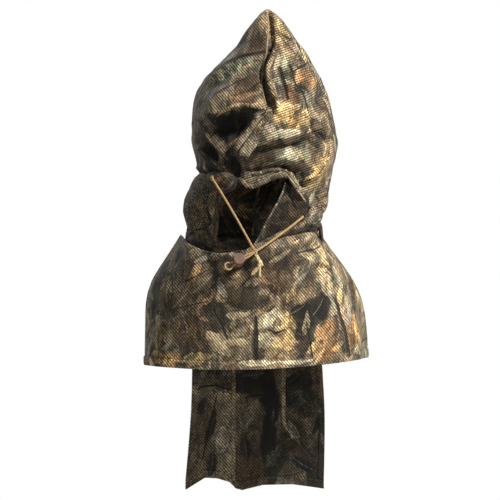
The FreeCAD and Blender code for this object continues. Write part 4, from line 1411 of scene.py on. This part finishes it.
def hood_patch_point(arc, z):
    """A point on the smooth hood from the print's coordinate and height."""
    centre, half = centre_and_half(HOOD_ROWS, z)
    return hood_base((arc - centre) / half, z)


NET_CELL = 7.0         # width of one diamond of the ear net, mm
NET_HOLE = 0.85        # share of a diamond that is open
NET_REACH = 240.0      # how far round the hood the lattice is laid before it is cut to the window, mm
NET_ROW_COUNT = 56


def build_ear_net(side):
    """Open net over an ear, a ring of four quads round each diamond, and the tape round it."""
    window = np.array(EAR_WINDOW[side], dtype=float)
    count_u = int(2 * NET_REACH / NET_CELL)
    cells = [(i, j) for i in range(-count_u, count_u) for j in range(NET_ROW_COUNT) if (i + j) % 2 == 0]
    centre = np.array(cells) * NET_CELL / 2 + [0, 2]
    middle, half = centre_and_half(HOOD_ROWS, centre[:, 1])
    centre = centre[inside((centre[:, 0] - middle) / half, centre[:, 1], window)]
    h = NET_CELL / 2
    corner = np.array([(0, -h), (h, 0), (0, h), (-h, 0)])
    key, verts, rings = {}, [], []
    for cu, cv in centre:
        outer = []
        for du, dv in corner:
            at = (round((cu + du) * 10), round((cv + dv) * 10))
            if at not in key:
                key[at] = len(verts)
                verts.append((cu + du, cv + dv))
            outer.append(key[at])
        inner = range(len(verts), len(verts) + 4)
        verts += [(cu + du, cv + dv) for du, dv in corner * NET_HOLE]
        for k in range(4):
            rings.append([outer[k], outer[(k + 1) % 4], inner[(k + 1) % 4], inner[k]])
    flat = np.array(verts)
    points = hood_patch_point(flat[:, 0], flat[:, 1])
    points += noise(points, 22, 31)[:, None] * np.array([1.2, 1.2, 0.0])
    obj = new_object(f"ear_net_{side}", points, rings)
    finish_cloth(obj, "hood", [f"ear_mesh_{side}"], [NET], thickness=0.8, blend=HOOD_BLEND)
    line = np.vstack([window, window[:1]])
    dense = []
    for a, b in zip(line[:-1], line[1:]):
        steps = max(2, int(max(abs(b[0] - a[0]) * 100, abs(b[1] - a[1])) / 4))
        dense += [a + (b - a) * t for t in np.linspace(0, 1, steps, endpoint=False)]
    dense = np.array(dense + dense[:1])
    rim = hood_base(dense[:, 0], dense[:, 1])
    out = rim - np.array([0, MIDDLE_Y, 0])
    out[:, 2] = 0
    out /= np.linalg.norm(out, axis=1, keepdims=True)
    tape = tube_mesh(rim + out * 0.1, puckered(2.4, 0.1, 9.0, 8), 10, 2.0, up=out, flat=0.3)
    tube_object(f"ear_net_binding_{side}_tape", [tape], "hood",
                [f"ear_mesh_binding_{side}"], CAMO_SHADE, HOOD_BLEND, base=BROWN)


def build_veil():
    """Mesh panel behind the opening, its bound free edge slanting across."""
    free = curve_through([(41, 86), (36, 70), (26, 50), (13, 27), (0, 2), (-8, -12)])
    sewn = curve_through([(72, 74), (76, 56), (72, 38), (66, 22), (60, 6), (50, -10)])
    n = len(free)
    share, i = np.meshgrid(np.linspace(0, 1, 30), np.arange(n))
    across = free[:, None] + (sewn - free)[:, None] * share[..., None]
    fold = 3.2 * np.sin(share * 9.0 + i * 0.03) * (0.3 + i / n) + 2.0 * np.exp(-(share / 0.08) ** 2)
    y = -84 + 14 * share + 8 * (i / n) * (1 - share) - fold
    grid = np.stack([across[..., 0], y, across[..., 1]], axis=-1)
    obj = sheet("face_veil_cloth", grid)
    uv = grid.reshape(-1, 3)[:, [0, 2]] + [210.0, 40.0]
    paint(obj, uv, 31, [], [], [], DULL, (150, 330), (-20, 160))
    finish_cloth(obj, "hood", ["face_veil"], [CAMO_VEIL_SHADE], thickness=0.8, blend=HOOD_BLEND)
    edge = grid[:, 0] + [0.0, -0.8, 0.0]
    roll = tube_mesh(edge, puckered(1.5, 0.1, 6.0, 9), 10, 1.2, flat=0.7)
    tube_object("face_veil_edge", [roll], "hood", [], CAMO, HOOD_BLEND, base=MAUVE * 0.8)


# ---------------------------------------------------------------- bib
BIB_LOW, BIB_HIGH = span("bib_panel")
NECKLINE = np.array([(-116, 12), (-104, 6), (-88, -6), (-72, -13), (-45, -21), (-14, -15), (14, 0),
                     (42, 13), (63, 20), (81, 26), (90, 27), (100, 27)], dtype=float)


def bib_hem_z(x):
    """Height of the hem: a shallow curve, lower on the wearer's right."""
    t = (x - BIB_LOW[0]) / (BIB_HIGH[0] - BIB_LOW[0])
    return HEM_LOW + 7.0 - 9.0 * np.sin(np.pi * np.clip(t, 0, 1)) ** 0.7 + 10 * t ** 2


def bib_row(z):
    """Middle, half width and front of the bib at a height, drawn in to the neck above its top section."""
    top = BIB_ROWS[-1]
    rise = np.clip((z - top[0]) / (12 - top[0]), 0, 1.6)
    left = row_value(BIB_ROWS, z, 1) + rise * (-113 - top[1])
    right = row_value(BIB_ROWS, z, 2) + rise * (90 - top[2])
    front = row_value(BIB_ROWS, z, 3) + rise * (NECK_LOW[1] - 3 - top[3])
    return (left + right) / 2, (right - left) / 2, front


BIB_FOLDS = [
    (ridge, [(92, 8), (60, -2), (34, -12), (8, -27), (-20, -36)], 7.0, 7, 9, 0.1),
    (ridge, [(90, -8), (56, -22), (28, -42), (6, -56)], -8.0, 8, 8, 0.12),
    (ridge, [(92, -16), (68, -36), (40, -62), (16, -76)], 6.0, 8, 9, 0.12),
    (ridge, [(94, -34), (72, -60), (52, -84), (30, -104)], -5.0, 8, 9, 0.15),
    (ridge, [(98, -40), (84, -74), (64, -104)], 4.0, 10, 11, 0.2),
    (ridge, [(-110, 4), (-96, -30), (-90, -76)], 4.5, 11, 10, 0.2),
    (ridge, [(-88, -8), (-72, -34), (-66, -74)], -4.5, 10, 9, 0.2),
    (ridge, [(-60, -26), (-44, -60), (-30, -110)], 3.0, 14, 14, 0.25),
    (ridge, [(-76, -16), (-40, -24), (0, -20), (30, 0)], 4.0, 5, 9, 0.15),
    (ridge, [(-130, -60), (-124, -110), (-128, -160)], 2.5, 12, 12, 0.2),
    (ridge, [(-14, -70), (-10, -120), (-18, -170)], 2.0, 14, 16, 0.2),
    (ridge, [(70, -110), (84, -150), (80, -180)], 2.0, 14, 12, 0.2),
]


THREAD_LIFT = 1.9      # a hem's thread stands this far out of the cloth, mm
HEM_WIDTH = 13.0       # height of the bottom hems, mm
BIB_LENGTH = 190       # from neckline to hem, roughly, mm
FLAP_LENGTH = 370
BIB_HEM_ROWS = 16
SIDE_HEM_TURN = 0.055  # width of the bib's side hems, radians
SIDE_HEM_COLUMNS = 8
SIDE_HEM_ROWS = 90
BIB_COLUMNS = 230
BIB_ROW_COUNT = 108
BIB_TURN = 1.62        # how far round each wing goes, radians from the front


def bib_point(angle, share):
    """A point of the bib: angle from the front and share of the way down."""
    s, c = rounded(np.sin(angle)), np.cos(angle)
    x_top = -5 + 102 * s
    z_top = np.interp(x_top, NECKLINE[:, 0], NECKLINE[:, 1])
    z = z_top.copy()
    for _ in range(3):
        centre, half, front = bib_row(z)
        x = centre + half * s
        z = z_top + (bib_hem_z(x) - z_top) * share
    centre, half, front = bib_row(z)
    x = centre + half * s
    back = BIB_HIGH[1]
    y = back - (back - front) * rounded(np.clip(c, 0, 1)) + np.where(c < 0, -c * 60, 0)
    return np.stack([x, y, z], axis=-1)


def bib_uv(p, angle):
    """Print coordinates: round the bib, and up it."""
    centre, half, _ = bib_row(p[..., 2])
    return np.stack([centre + half * angle, p[..., 2]], axis=-1)


def bib_arc(x, z):
    """The print's coordinate round the bib for a point seen in front."""
    centre, half, _ = bib_row(np.asarray(z, dtype=float))
    return centre + half * np.arcsin(np.clip((x - centre) / half, -0.985, 0.985))


# ground, leaves, twigs, palette, ranges across and up, and where the placed shapes are
BIB_PRINT = (shift_leaves(BIB_GROUND, bib_arc), shift_leaves(BIB_LEAVES, bib_arc),
             shift_twigs(BIB_TWIGS, bib_arc), MIXED, (-300, 300), (-220, 30), near_front)
LOCK_REST = (-13, -26)  # where the bib gives way to the cord lock when the lock is run up the cord
LOCK_HOLLOW = 5.5       # depth and radius of that hollow
LOCK_HOLLOW_R = 11.0


def bib_surface(angle, share):
    """The bib with its folds; share is how far down from the neckline."""
    base = bib_point(angle, share)
    normal = -grid_normals(base, False)
    facing = front_weight(normal)
    out = stand_out(BIB_FOLDS, base[..., 0], base[..., 2]) * facing
    slack = smooth(0.0, 0.2, share)
    out += slack * (1.8 * noise(base * [1, 1, 0.5], 40, 12) + 0.9 * noise(base * [1, 1, 0.7], 17, 13))
    out += 3.2 * (1 - facing) * slack * np.sin(angle * 9.0) * smooth(0.1, 0.8, share)
    aside = np.hypot(base[..., 0] - LOCK_REST[0], base[..., 2] - LOCK_REST[1])
    out -= LOCK_HOLLOW * np.exp(-(aside / LOCK_HOLLOW_R) ** 2) * facing
    return base + normal * out[..., None]


def build_bib():
    """The bib's cloth, its three turned hems and the hem's thread."""
    angles = np.linspace(-BIB_TURN, BIB_TURN, BIB_COLUMNS)
    angle, share = np.meshgrid(angles, np.linspace(0, 1, BIB_ROW_COUNT))
    grid = bib_surface(angle, share)
    obj = sheet("bib_cloth", grid, flip=True)
    uv = bib_uv(grid.reshape(-1, 3), angle.ravel())
    paint(obj, uv, 12, *BIB_PRINT, fold=fold_light(grid, False, -9.0).ravel())
    finish_cloth(obj, "front_bib", ["bib_panel"], [CAMO, CAMO_INNER], blend=BIB_BLEND)

    top = 1 - HEM_WIDTH / BIB_LENGTH
    angle, share = np.meshgrid(angles, np.linspace(top, 1.0, BIB_HEM_ROWS))
    t = (share - top) / (1 - top)
    puff = 0.7 + 1.1 * np.sin(np.pi * np.clip(t, 0, 1)) ** 0.5 + 0.5 * noise(
        np.stack([angle * 170, t * 6, t * 0], axis=-1), 7, 40)
    band = bib_surface_like(grid, angle, share, puff)
    obj = sheet("bib_hem_band", band, flip=True)
    paint(obj, bib_uv(band.reshape(-1, 3), angle.ravel()) + [0.0, 1.5], 12, *BIB_PRINT)
    finish_cloth(obj, "front_bib", ["bib_hem"], [CAMO_HEM_HIGHLIGHT], thickness=2.4, blend=BIB_BLEND)

    for side, edge in (("right", -1), ("left", 1)):
        turn = np.linspace(edge * (BIB_TURN - SIDE_HEM_TURN), edge * BIB_TURN, SIDE_HEM_COLUMNS)
        angle, share = np.meshgrid(turn, np.linspace(0.0, top, SIDE_HEM_ROWS))
        puff = 0.6 + 0.8 * np.sin(np.pi * np.linspace(0, 1, SIDE_HEM_COLUMNS))[None] + 0 * share
        strip = bib_surface_like(grid, angle, share, puff)
        obj = sheet(f"bib_side_hem_{side}_band", strip, flip=edge > 0)
        uv = bib_uv(strip.reshape(-1, 3), angle.ravel())
        paint(obj, uv, 14, [], [], [], MIXED, (-320, 320), (-220, 30))
        finish_cloth(obj, "front_bib", [f"bib_side_hem_{side}"], [CAMO_HEM_HIGHLIGHT], thickness=2.2,
                     blend=BIB_BLEND)

    run = np.linspace(-BIB_TURN + 0.04, BIB_TURN - 0.04, 700)[None]
    share = np.full(run.shape, top + 0.012)
    line = bib_surface_like(grid, run, share, np.full(run.shape, THREAD_LIFT))[0]
    stitch_row("bib_hem_thread", line, 0.42, "front_bib", "bib_hem_stitches", THREAD, BIB_BLEND)


def bib_surface_like(grid, angle, share, lift):
    """Points on the finished bib grid, raised from it by lift."""
    rows, columns = grid.shape[:2]
    normal = -grid_normals(grid, False)
    u = (angle + BIB_TURN) / (2 * BIB_TURN) * (columns - 1)
    v = share * (rows - 1)
    u0 = np.clip(np.floor(u).astype(int), 0, columns - 2)
    v0 = np.clip(np.floor(v).astype(int), 0, rows - 2)
    fu, fv = (u - u0)[..., None], (v - v0)[..., None]

    def blend(a):
        return ((a[v0, u0] * (1 - fu) + a[v0, u0 + 1] * fu) * (1 - fv)
                + (a[v0 + 1, u0] * (1 - fu) + a[v0 + 1, u0 + 1] * fu) * fv)

    n = blend(normal)
    n /= np.linalg.norm(n, axis=-1, keepdims=True)
    return blend(grid) + n * lift[..., None]


def build_neck():
    """Soft rolled seam all round the neck; it sags to the bib's neckline in front."""
    turn = np.linspace(-np.pi, np.pi, 160, endpoint=False)
    s, c = np.sin(turn), np.cos(turn)
    half_x, half_y = (NECK_HIGH[:2] - NECK_LOW[:2]) / 2
    x = -4 + (half_x + 4) * rounded(s)
    y = -half_y * rounded(c)
    z = np.where(c > 0, np.interp(x, NECKLINE[:, 0], NECKLINE[:, 1]) * smooth(0, 0.3, c) - 3, -2.0)
    z = z * smooth(-0.2, 0.35, c) + 2.0 * (1 - smooth(-0.2, 0.35, c))
    path = np.stack([x, y, z], axis=-1)
    out = np.stack([s, -c, s * 0], axis=-1)
    roll = tube_mesh(np.vstack([path, path[:1]]), puckered(5.0, 0.2, 12.0, 15), 12, 2.0,
                     up=np.vstack([out, out[:1]]), flat=0.55)
    tube_object("neck_seam_roll", [roll], "neck", ["neck_seam_tape"], CAMO_SHADE,
                base=BROWN)


# ---------------------------------------------------------------- back flap
FLAP_BOX_LOW, FLAP_BOX_HIGH = span("flap_panel")
FLAP_HEM_LINE = np.array([(-118, -384), (-108, -377), (-80, -360), (-61, -361), (-42, -367), (-34, -376),
                          (-24, -379), (8, -371), (53, -370), (84, -374), (110, -378)], dtype=float)
FLAP_TOP_Z = 3.0
FLAP_COLUMNS = 110
FLAP_ROW_COUNT = 170
PLEAT_X = -37.0
TAPE_X = 39            # where the flap's second, shorter tape runs
TAPE_LIFT = 1.6


def flap_depth(x, z, share):
    """y of the flap's inner face: a shallow hollow with long soft pleats."""
    near, far = FLAP_BOX_LOW[1], FLAP_BOX_HIGH[1]
    middle = near + 3 + (far - near - 9) * np.sqrt(1 - 0.9 * share ** 2)
    down = smooth(-8, -380, z)
    pleats = 4.0 * np.cos(np.pi * 2.6 * (share + 0.34)) * (1 - share ** 2)
    pleats += (1.6 + 4.0 * down) * np.sin(share * 9.0 + 0.8 * np.sin(z / 70))
    pleats += 5.0 * down * smooth(0.72, 1.0, np.abs(share))
    pleats += -3.5 * np.exp(-((x - PLEAT_X) / 6) ** 2) + 2.5 * np.exp(-((x - PLEAT_X - 9) / 5) ** 2)
    p = np.stack([x, z * 0.35, x * 0], axis=-1)
    return middle - pleats + 1.2 * noise(p, 24, 17) + 0.6 * noise(p, 10, 18)


def flap_point(share_x, share_z):
    """A point of the flap: share across from its middle, -1 to 1, and share of the way down."""
    z_guess = FLAP_TOP_Z + (-372 - FLAP_TOP_Z) * share_z
    centre, half = centre_and_half(FLAP_ROWS, z_guess)
    x = centre + half * share_x
    hem = np.interp(x, FLAP_HEM_LINE[:, 0], FLAP_HEM_LINE[:, 1])
    z = FLAP_TOP_Z + (hem - FLAP_TOP_Z) * share_z
    return np.stack([x, flap_depth(x, z, share_x), z], axis=-1)


def flap_hand_zone(u, v):
    """Where the listed print is: the part that shows below the bib."""
    return v < -185


FLAP_PRINT = (FLAP_GROUND, FLAP_LEAVES, FLAP_TWIGS, DULL, (-130, 130), (-400, 20), flap_hand_zone)


def flap_band(name, node, share_x, share_z, thickness, lift):
    """A turned hem of the flap, raised from its cloth by lift."""
    grid = flap_point(share_x, share_z)
    grid = grid + grid_normals(grid, False) * lift[..., None]
    obj = sheet(name, grid)
    paint(obj, grid.reshape(-1, 3)[:, [0, 2]], 16, *FLAP_PRINT)
    finish_cloth(obj, "back_flap", [node], [CAMO, CAMO_FLAP_SHADE], thickness=thickness,
                 blend=FLAP_BLEND)


def build_flap():
    """The flap's cloth, its three turned hems, two sewn-down tapes and the hem's thread."""
    across = np.linspace(-1, 1, FLAP_COLUMNS)
    grid = flap_point(*np.meshgrid(across, np.linspace(0, 1, FLAP_ROW_COUNT)))
    obj = sheet("flap_cloth", grid)
    paint(obj, grid.reshape(-1, 3)[:, [0, 2]], 16, *FLAP_PRINT, fold=fold_light(grid, False, -5.0).ravel())
    finish_cloth(obj, "back_flap", ["flap_panel"], [CAMO, CAMO_FLAP_SHADE], blend=FLAP_BLEND)

    low = 1 - HEM_WIDTH / FLAP_LENGTH
    sx, sz = np.meshgrid(across, np.linspace(low, 1.0, 10))
    t = (sz - low) / (1 - low)
    flap_band("flap_hem_band", "flap_hem", sx, sz, 3.4, 1.2 + 0.7 * np.sin(np.pi * t))
    for side, edge in (("right", -1), ("left", 1)):
        strip = np.sort([edge * (1 - 0.085 * k / 6) for k in range(7)])
        sx, sz = np.meshgrid(strip, np.linspace(0, low, 120))
        flap_band(f"flap_side_hem_{side}_band", f"flap_side_hem_{side}", sx, sz, 3.2, 1.2 + 0 * sx)
    long_z = np.linspace(FLAP_TOP_Z - 2, -364, 150)
    short_z = np.linspace(FLAP_TOP_Z - 20, -300, 110)
    short_x = TAPE_X + 16 * smooth(-262, -304, short_z) ** 2
    ribbons = []
    for x, z, width in ((np.full(long_z.shape, PLEAT_X), long_z, 3.2), (short_x, short_z, 2.8)):
        centre, half = centre_and_half(FLAP_ROWS, z)
        line = np.stack([x, flap_depth(x, z, (x - centre) / half) - TAPE_LIFT, z], axis=-1)
        ribbons.append(tube_mesh(line, puckered(width, 0.1, 14, 19), 10, 2.5, up=(0, -1, 0), flat=0.35))
    # the tapes take the flap's darker copy of the print: painted shade
    tube_object("flap_pleat_band", ribbons, "back_flap", ["flap_pleat_tape"], CAMO_FLAP_SHADE,
                FLAP_BLEND, base=TAUPE * 2.6)
    run = np.linspace(-0.98, 0.98, 500)
    line = flap_point(run, np.full(run.shape, low + 0.006))
    line[:, 1] -= THREAD_LIFT
    stitch_row("flap_hem_thread", line, 0.4, "back_flap", "flap_hem_stitches", SHADED_THREAD, FLAP_BLEND)


# ---------------------------------------------------------------- cords, knots and cord lock
def middle_of(node):
    low, high = span(node)
    return (low + high) / 2


JUNCTION = middle_of("junction_knot")
TAIL_KNOT = middle_of("tail_knot")
CORD_R = 1.75


def far_end(node, near, inset=CORD_R):
    """The end of a straight cord that is away from a point."""
    low, high = span(node)
    low, high = low + inset * 0.6, high - inset * 0.6
    return np.where(np.abs(low - near) > np.abs(high - near), low, high)


def joint_axis(name):
    for joint in frame["joints"]:
        if joint["name"] == name:
            return np.array(joint["axis"], dtype=float)
    raise ValueError(name)


ALONG = joint_axis("cord_lock_slide")
PRESS = -joint_axis("plunger_press")
ACROSS = np.cross(PRESS, ALONG)
LOCK = middle_of("lock_barrel") + PRESS * 3.7


def knot_path(centre, size, turn=0.0, count=90, tilt=(1.0, 0.8, 1.2)):
    """A trefoil-like overhand knot, closed on itself."""
    t = np.linspace(0, 2 * np.pi, count, endpoint=False)
    x = np.sin(t) + 2 * np.sin(2 * t)
    y = np.sin(3 * t) * 1.1
    z = np.cos(t) - 2 * np.cos(2 * t)
    c, s = math.cos(turn), math.sin(turn)
    p = np.stack([x * c - z * s, y, x * s + z * c], axis=-1) / 3
    path = centre + p * size * np.array(tilt)
    return np.vstack([path, path[:1]])


def sagging(a, b, sag, side=(0.0, 0.0, 0.0), count=40):
    """A cord between two points that bows towards side and hangs by sag."""
    t = np.linspace(0, 1, count)[:, None]
    bow = 4 * t * (1 - t)
    return a + (b - a) * t + bow * (np.asarray(side) + np.array([0, 0, -sag]))


def build_cords():
    """The two strands, the knots, the cord lock's loop and the frayed tails."""
    right_exit = far_end("drawcord_right", JUNCTION)
    left_exit = far_end("drawcord_left", JUNCTION)
    tuck = np.array([0, 7.0, 2.5])
    right = np.vstack([right_exit + tuck, sagging(right_exit, JUNCTION, 1.0, (2.0, -1.0, 0))])
    left = np.vstack([left_exit + tuck * [0, 1, 0.4], sagging(left_exit, JUNCTION, 1.5, (0, -1.0, 0))])
    for side, path in (("right", right), ("left", left)):
        cord_object(f"drawcord_{side}_strand", [tube_mesh(path, CORD_R, 10, 1.2)], "drawcord",
                    f"drawcord_{side}", CORD)
    knot = knot_path(JUNCTION, 3.4, 0.4)
    cord_object("junction_overhand_knot", [tube_mesh(knot, 1.55, 10, 0.8)], "drawcord", "junction_knot",
                CORD)
    # half of the loop's outline, along and across the cord lock; the other half mirrors it
    reach = np.linalg.norm(LOCK - JUNCTION)
    outline = [(-reach + 2.5, 1.0), (-14, 1.9), (-4, 1.9), (5, 1.9), (10, 2.2), (14, 4.0), (18, 5.4),
               (21.6, 4.4), (23.2, 0)]
    shape = curve_through(outline + [(a, -b) for a, b in reversed(outline[:-1])], 8)
    loop = LOCK + shape[:, :1] * ALONG + shape[:, 1:] * ACROSS
    cord_object("lock_cord_loop", [tube_mesh(loop, 1.5, 10, 1.0)], "drawcord", "lock_loop", CORD)
    # tails below the junction
    top = JUNCTION + (TAIL_KNOT - JUNCTION) * 0.25
    neck = sagging(top, TAIL_KNOT, 0.0, (0.8, -1.0, 0))
    strands = [tube_mesh(neck + [aside, 0, 0], 1.4, 10, 1.0) for aside in (1.0, -1.2)]
    cord_object("tail_cord_neck", strands, "cord_tails", "tail_cord", FRAY)
    knot = knot_path(TAIL_KNOT, 3.4, 1.1, tilt=(0.9, 0.8, 1.3))
    cord_object("tail_overhand_knot", [tube_mesh(knot, 1.7, 10, 0.8)], "cord_tails", "tail_knot", FRAY)
    low, high = span("frayed_ends")
    tips = [np.array([low[0] + 1.6, high[1] - 2, low[2] + 4]),
            np.array([high[0] - 2.6, high[1] - 2, low[2]])]
    rng = np.random.default_rng(5)
    parts = []
    for tip in tips:
        for _ in range(26):
            spread = rng.normal(0, 1.0, 3) * [1.5, 1.0, 1.6]
            start = TAIL_KNOT + rng.normal(0, 0.5, 3) + [0, 0, -2.5]
            bend = rng.normal(0, 0.8, 3)
            parts.append(tube_mesh(sagging(start, tip + spread, 0, bend, 9), 0.32, 5, 1.6))
    cord_object("frayed_cord_ends", parts, "cord_tails", "frayed_ends", FRAY)


def build_buttonholes():
    """Thread-bound slits where the cord leaves its casing: a ring of satin stitches."""
    parts = []
    for side in ("right", "left"):
        at = far_end(f"drawcord_{side}", JUNCTION)
        centre = hood_front(at[0], at[2], 0.4)[0]
        for k in range(18):
            turn = 2 * np.pi * k / 18
            spoke = np.array([math.cos(turn), 0.15, math.sin(turn) * 1.15])
            stitch = [centre + spoke * 2.0, centre + spoke * 2.9 + [0, -0.5, 0], centre + spoke * 3.8]
            parts.append(tube_mesh(stitch, 0.5, 6, 0.8))
    tube_object("buttonhole_threads", parts, "hood", ["drawcord_buttonholes"], THREAD)


SPRING_TURNS = 2
SPRING_COIL_R = 3.5
SPRING_WIRE_R = 0.35
SPRING_RISE = 3.4      # height of the coil's centre line at rest


def build_spring():
    """Coil inside the lock, laid where the lock's spring is."""
    turn = np.linspace(0, 2 * np.pi * SPRING_TURNS, 20 * SPRING_TURNS)[:, None]
    rise = np.linspace(-0.5, 0.5, len(turn))[:, None] * SPRING_RISE
    round_axis = SPRING_COIL_R * (ALONG * np.cos(turn) + ACROSS * np.sin(turn))
    middle = middle_of("lock_spring")
    coil = tube_mesh(middle + PRESS * rise + round_axis, SPRING_WIRE_R, 8, 0.9)
    half = PRESS * SPRING_RISE / 2
    tube_object("lock_spring_coil", [coil], "cord_lock", ["lock_spring"], STEEL,
                ("cord_lock", "plunger", middle - half, middle + half))


def dress_cad_nodes():
    """The cord lock's body and button keep their CAD shape and get a finished material."""
    for node in ("lock_barrel", "lock_plunger"):
        obj = NODES[node]
        if obj.material_slots:
            for slot in obj.material_slots:
                slot.material = LOCK_PLASTIC
        else:
            obj.data.materials.append(LOCK_PLASTIC)


# ---------------------------------------------------------------- stage
FLOOR_RADIUS = 0.62    # metres
FLOOR_GAP = 46         # the floor lies this far below the hanging flap, mm
CAMERA_DISTANCE = 15   # metres
CAMERA_X, CAMERA_Z = -0.012, -0.015
SEEN_WIDTH = 0.75      # metres seen across at the front of the cloth


def build_stage():
    """A plain pale floor."""
    bpy.ops.mesh.primitive_circle_add(vertices=96, radius=FLOOR_RADIUS, fill_type="NGON",
                                      location=(0, 0, (FLAP_LOW - FLOOR_GAP) * MM))
    floor = bpy.context.object
    floor.name = "floor"
    n = Nodes("pale_floor")
    grain = n.noise(n.object_place(), 40, 2.0)
    floor.data.materials.append(n.surface(n.mix(grain, (0.86, 0.86, 0.85), (0.9, 0.9, 0.9)), 0.8))


def area_light(name, place, aim, size, power, colour=(1, 1, 1)):
    data = bpy.data.lights.new(name, "AREA")
    data.shape = "DISK"
    data.size = size
    data.energy = power
    data.color = colour
    obj = bpy.data.objects.new(name, data)
    obj.location = place
    obj.rotation_euler = (Vector(aim) - Vector(place)).to_track_quat("-Z", "Y").to_euler()
    bpy.context.scene.collection.objects.link(obj)


def build_lights():
    """Key from the upper right, three weak fills, and a white world that lights the cloth only a little."""
    area_light("key", (1.5, -1.25, 1.75), (0, 0, 0.05), 0.45, 122, (1.0, 0.975, 0.93))
    area_light("front_fill", (-0.6, -2.6, 0.6), (0, 0, 0), 1.2, 12, (0.96, 0.98, 1.0))
    area_light("back_fill", (-1.2, 2.0, 1.2), (0, 0, 0), 1.6, 26)
    area_light("side_fill", (2.4, 0.2, 0.1), (0, 0, 0), 1.0, 16)
    world = bpy.data.worlds.new("studio")
    bpy.context.scene.world = world
    world.use_nodes = True
    tree = world.node_tree
    tree.nodes.clear()
    out = tree.nodes.new("ShaderNodeOutputWorld")
    seen = tree.nodes.new("ShaderNodeBackground")
    lit = tree.nodes.new("ShaderNodeBackground")
    seen.inputs["Color"].default_value = (1, 1, 1, 1)
    lit.inputs["Color"].default_value = (0.9, 0.95, 1.0, 1)
    lit.inputs["Strength"].default_value = 0.12
    path = tree.nodes.new("ShaderNodeLightPath")
    mix = tree.nodes.new("ShaderNodeMixShader")
    tree.links.new(path.outputs["Is Camera Ray"], mix.inputs[0])
    tree.links.new(lit.outputs[0], mix.inputs[1])
    tree.links.new(seen.outputs[0], mix.inputs[2])
    tree.links.new(mix.outputs[0], out.inputs[0])
    bpy.context.scene.view_settings.view_transform = "Standard"


def build_camera():
    """Level with the neck and straight in front, far away, as a catalogue picture is taken."""
    data = bpy.data.cameras.new("camera")
    data.sensor_width = 36
    near = CAMERA_DISTANCE + NECK_LOW[1] * MM * 0.6
    data.lens = data.sensor_width * near / SEEN_WIDTH
    data.clip_end = 60
    obj = bpy.data.objects.new("camera", data)
    obj.location = (CAMERA_X, -CAMERA_DISTANCE, CAMERA_Z)
    obj.rotation_euler = (math.pi / 2, 0, 0)
    bpy.context.scene.collection.objects.link(obj)
    bpy.context.scene.camera = obj


build_hood()
build_hood_trim()
build_rolls()
for ear in ("right", "left"):
    build_ear_net(ear)
build_veil()
build_neck()
build_bib()
build_flap()
build_cords()
build_buttonholes()
build_spring()
dress_cad_nodes()
build_stage()
build_lights()
build_camera()
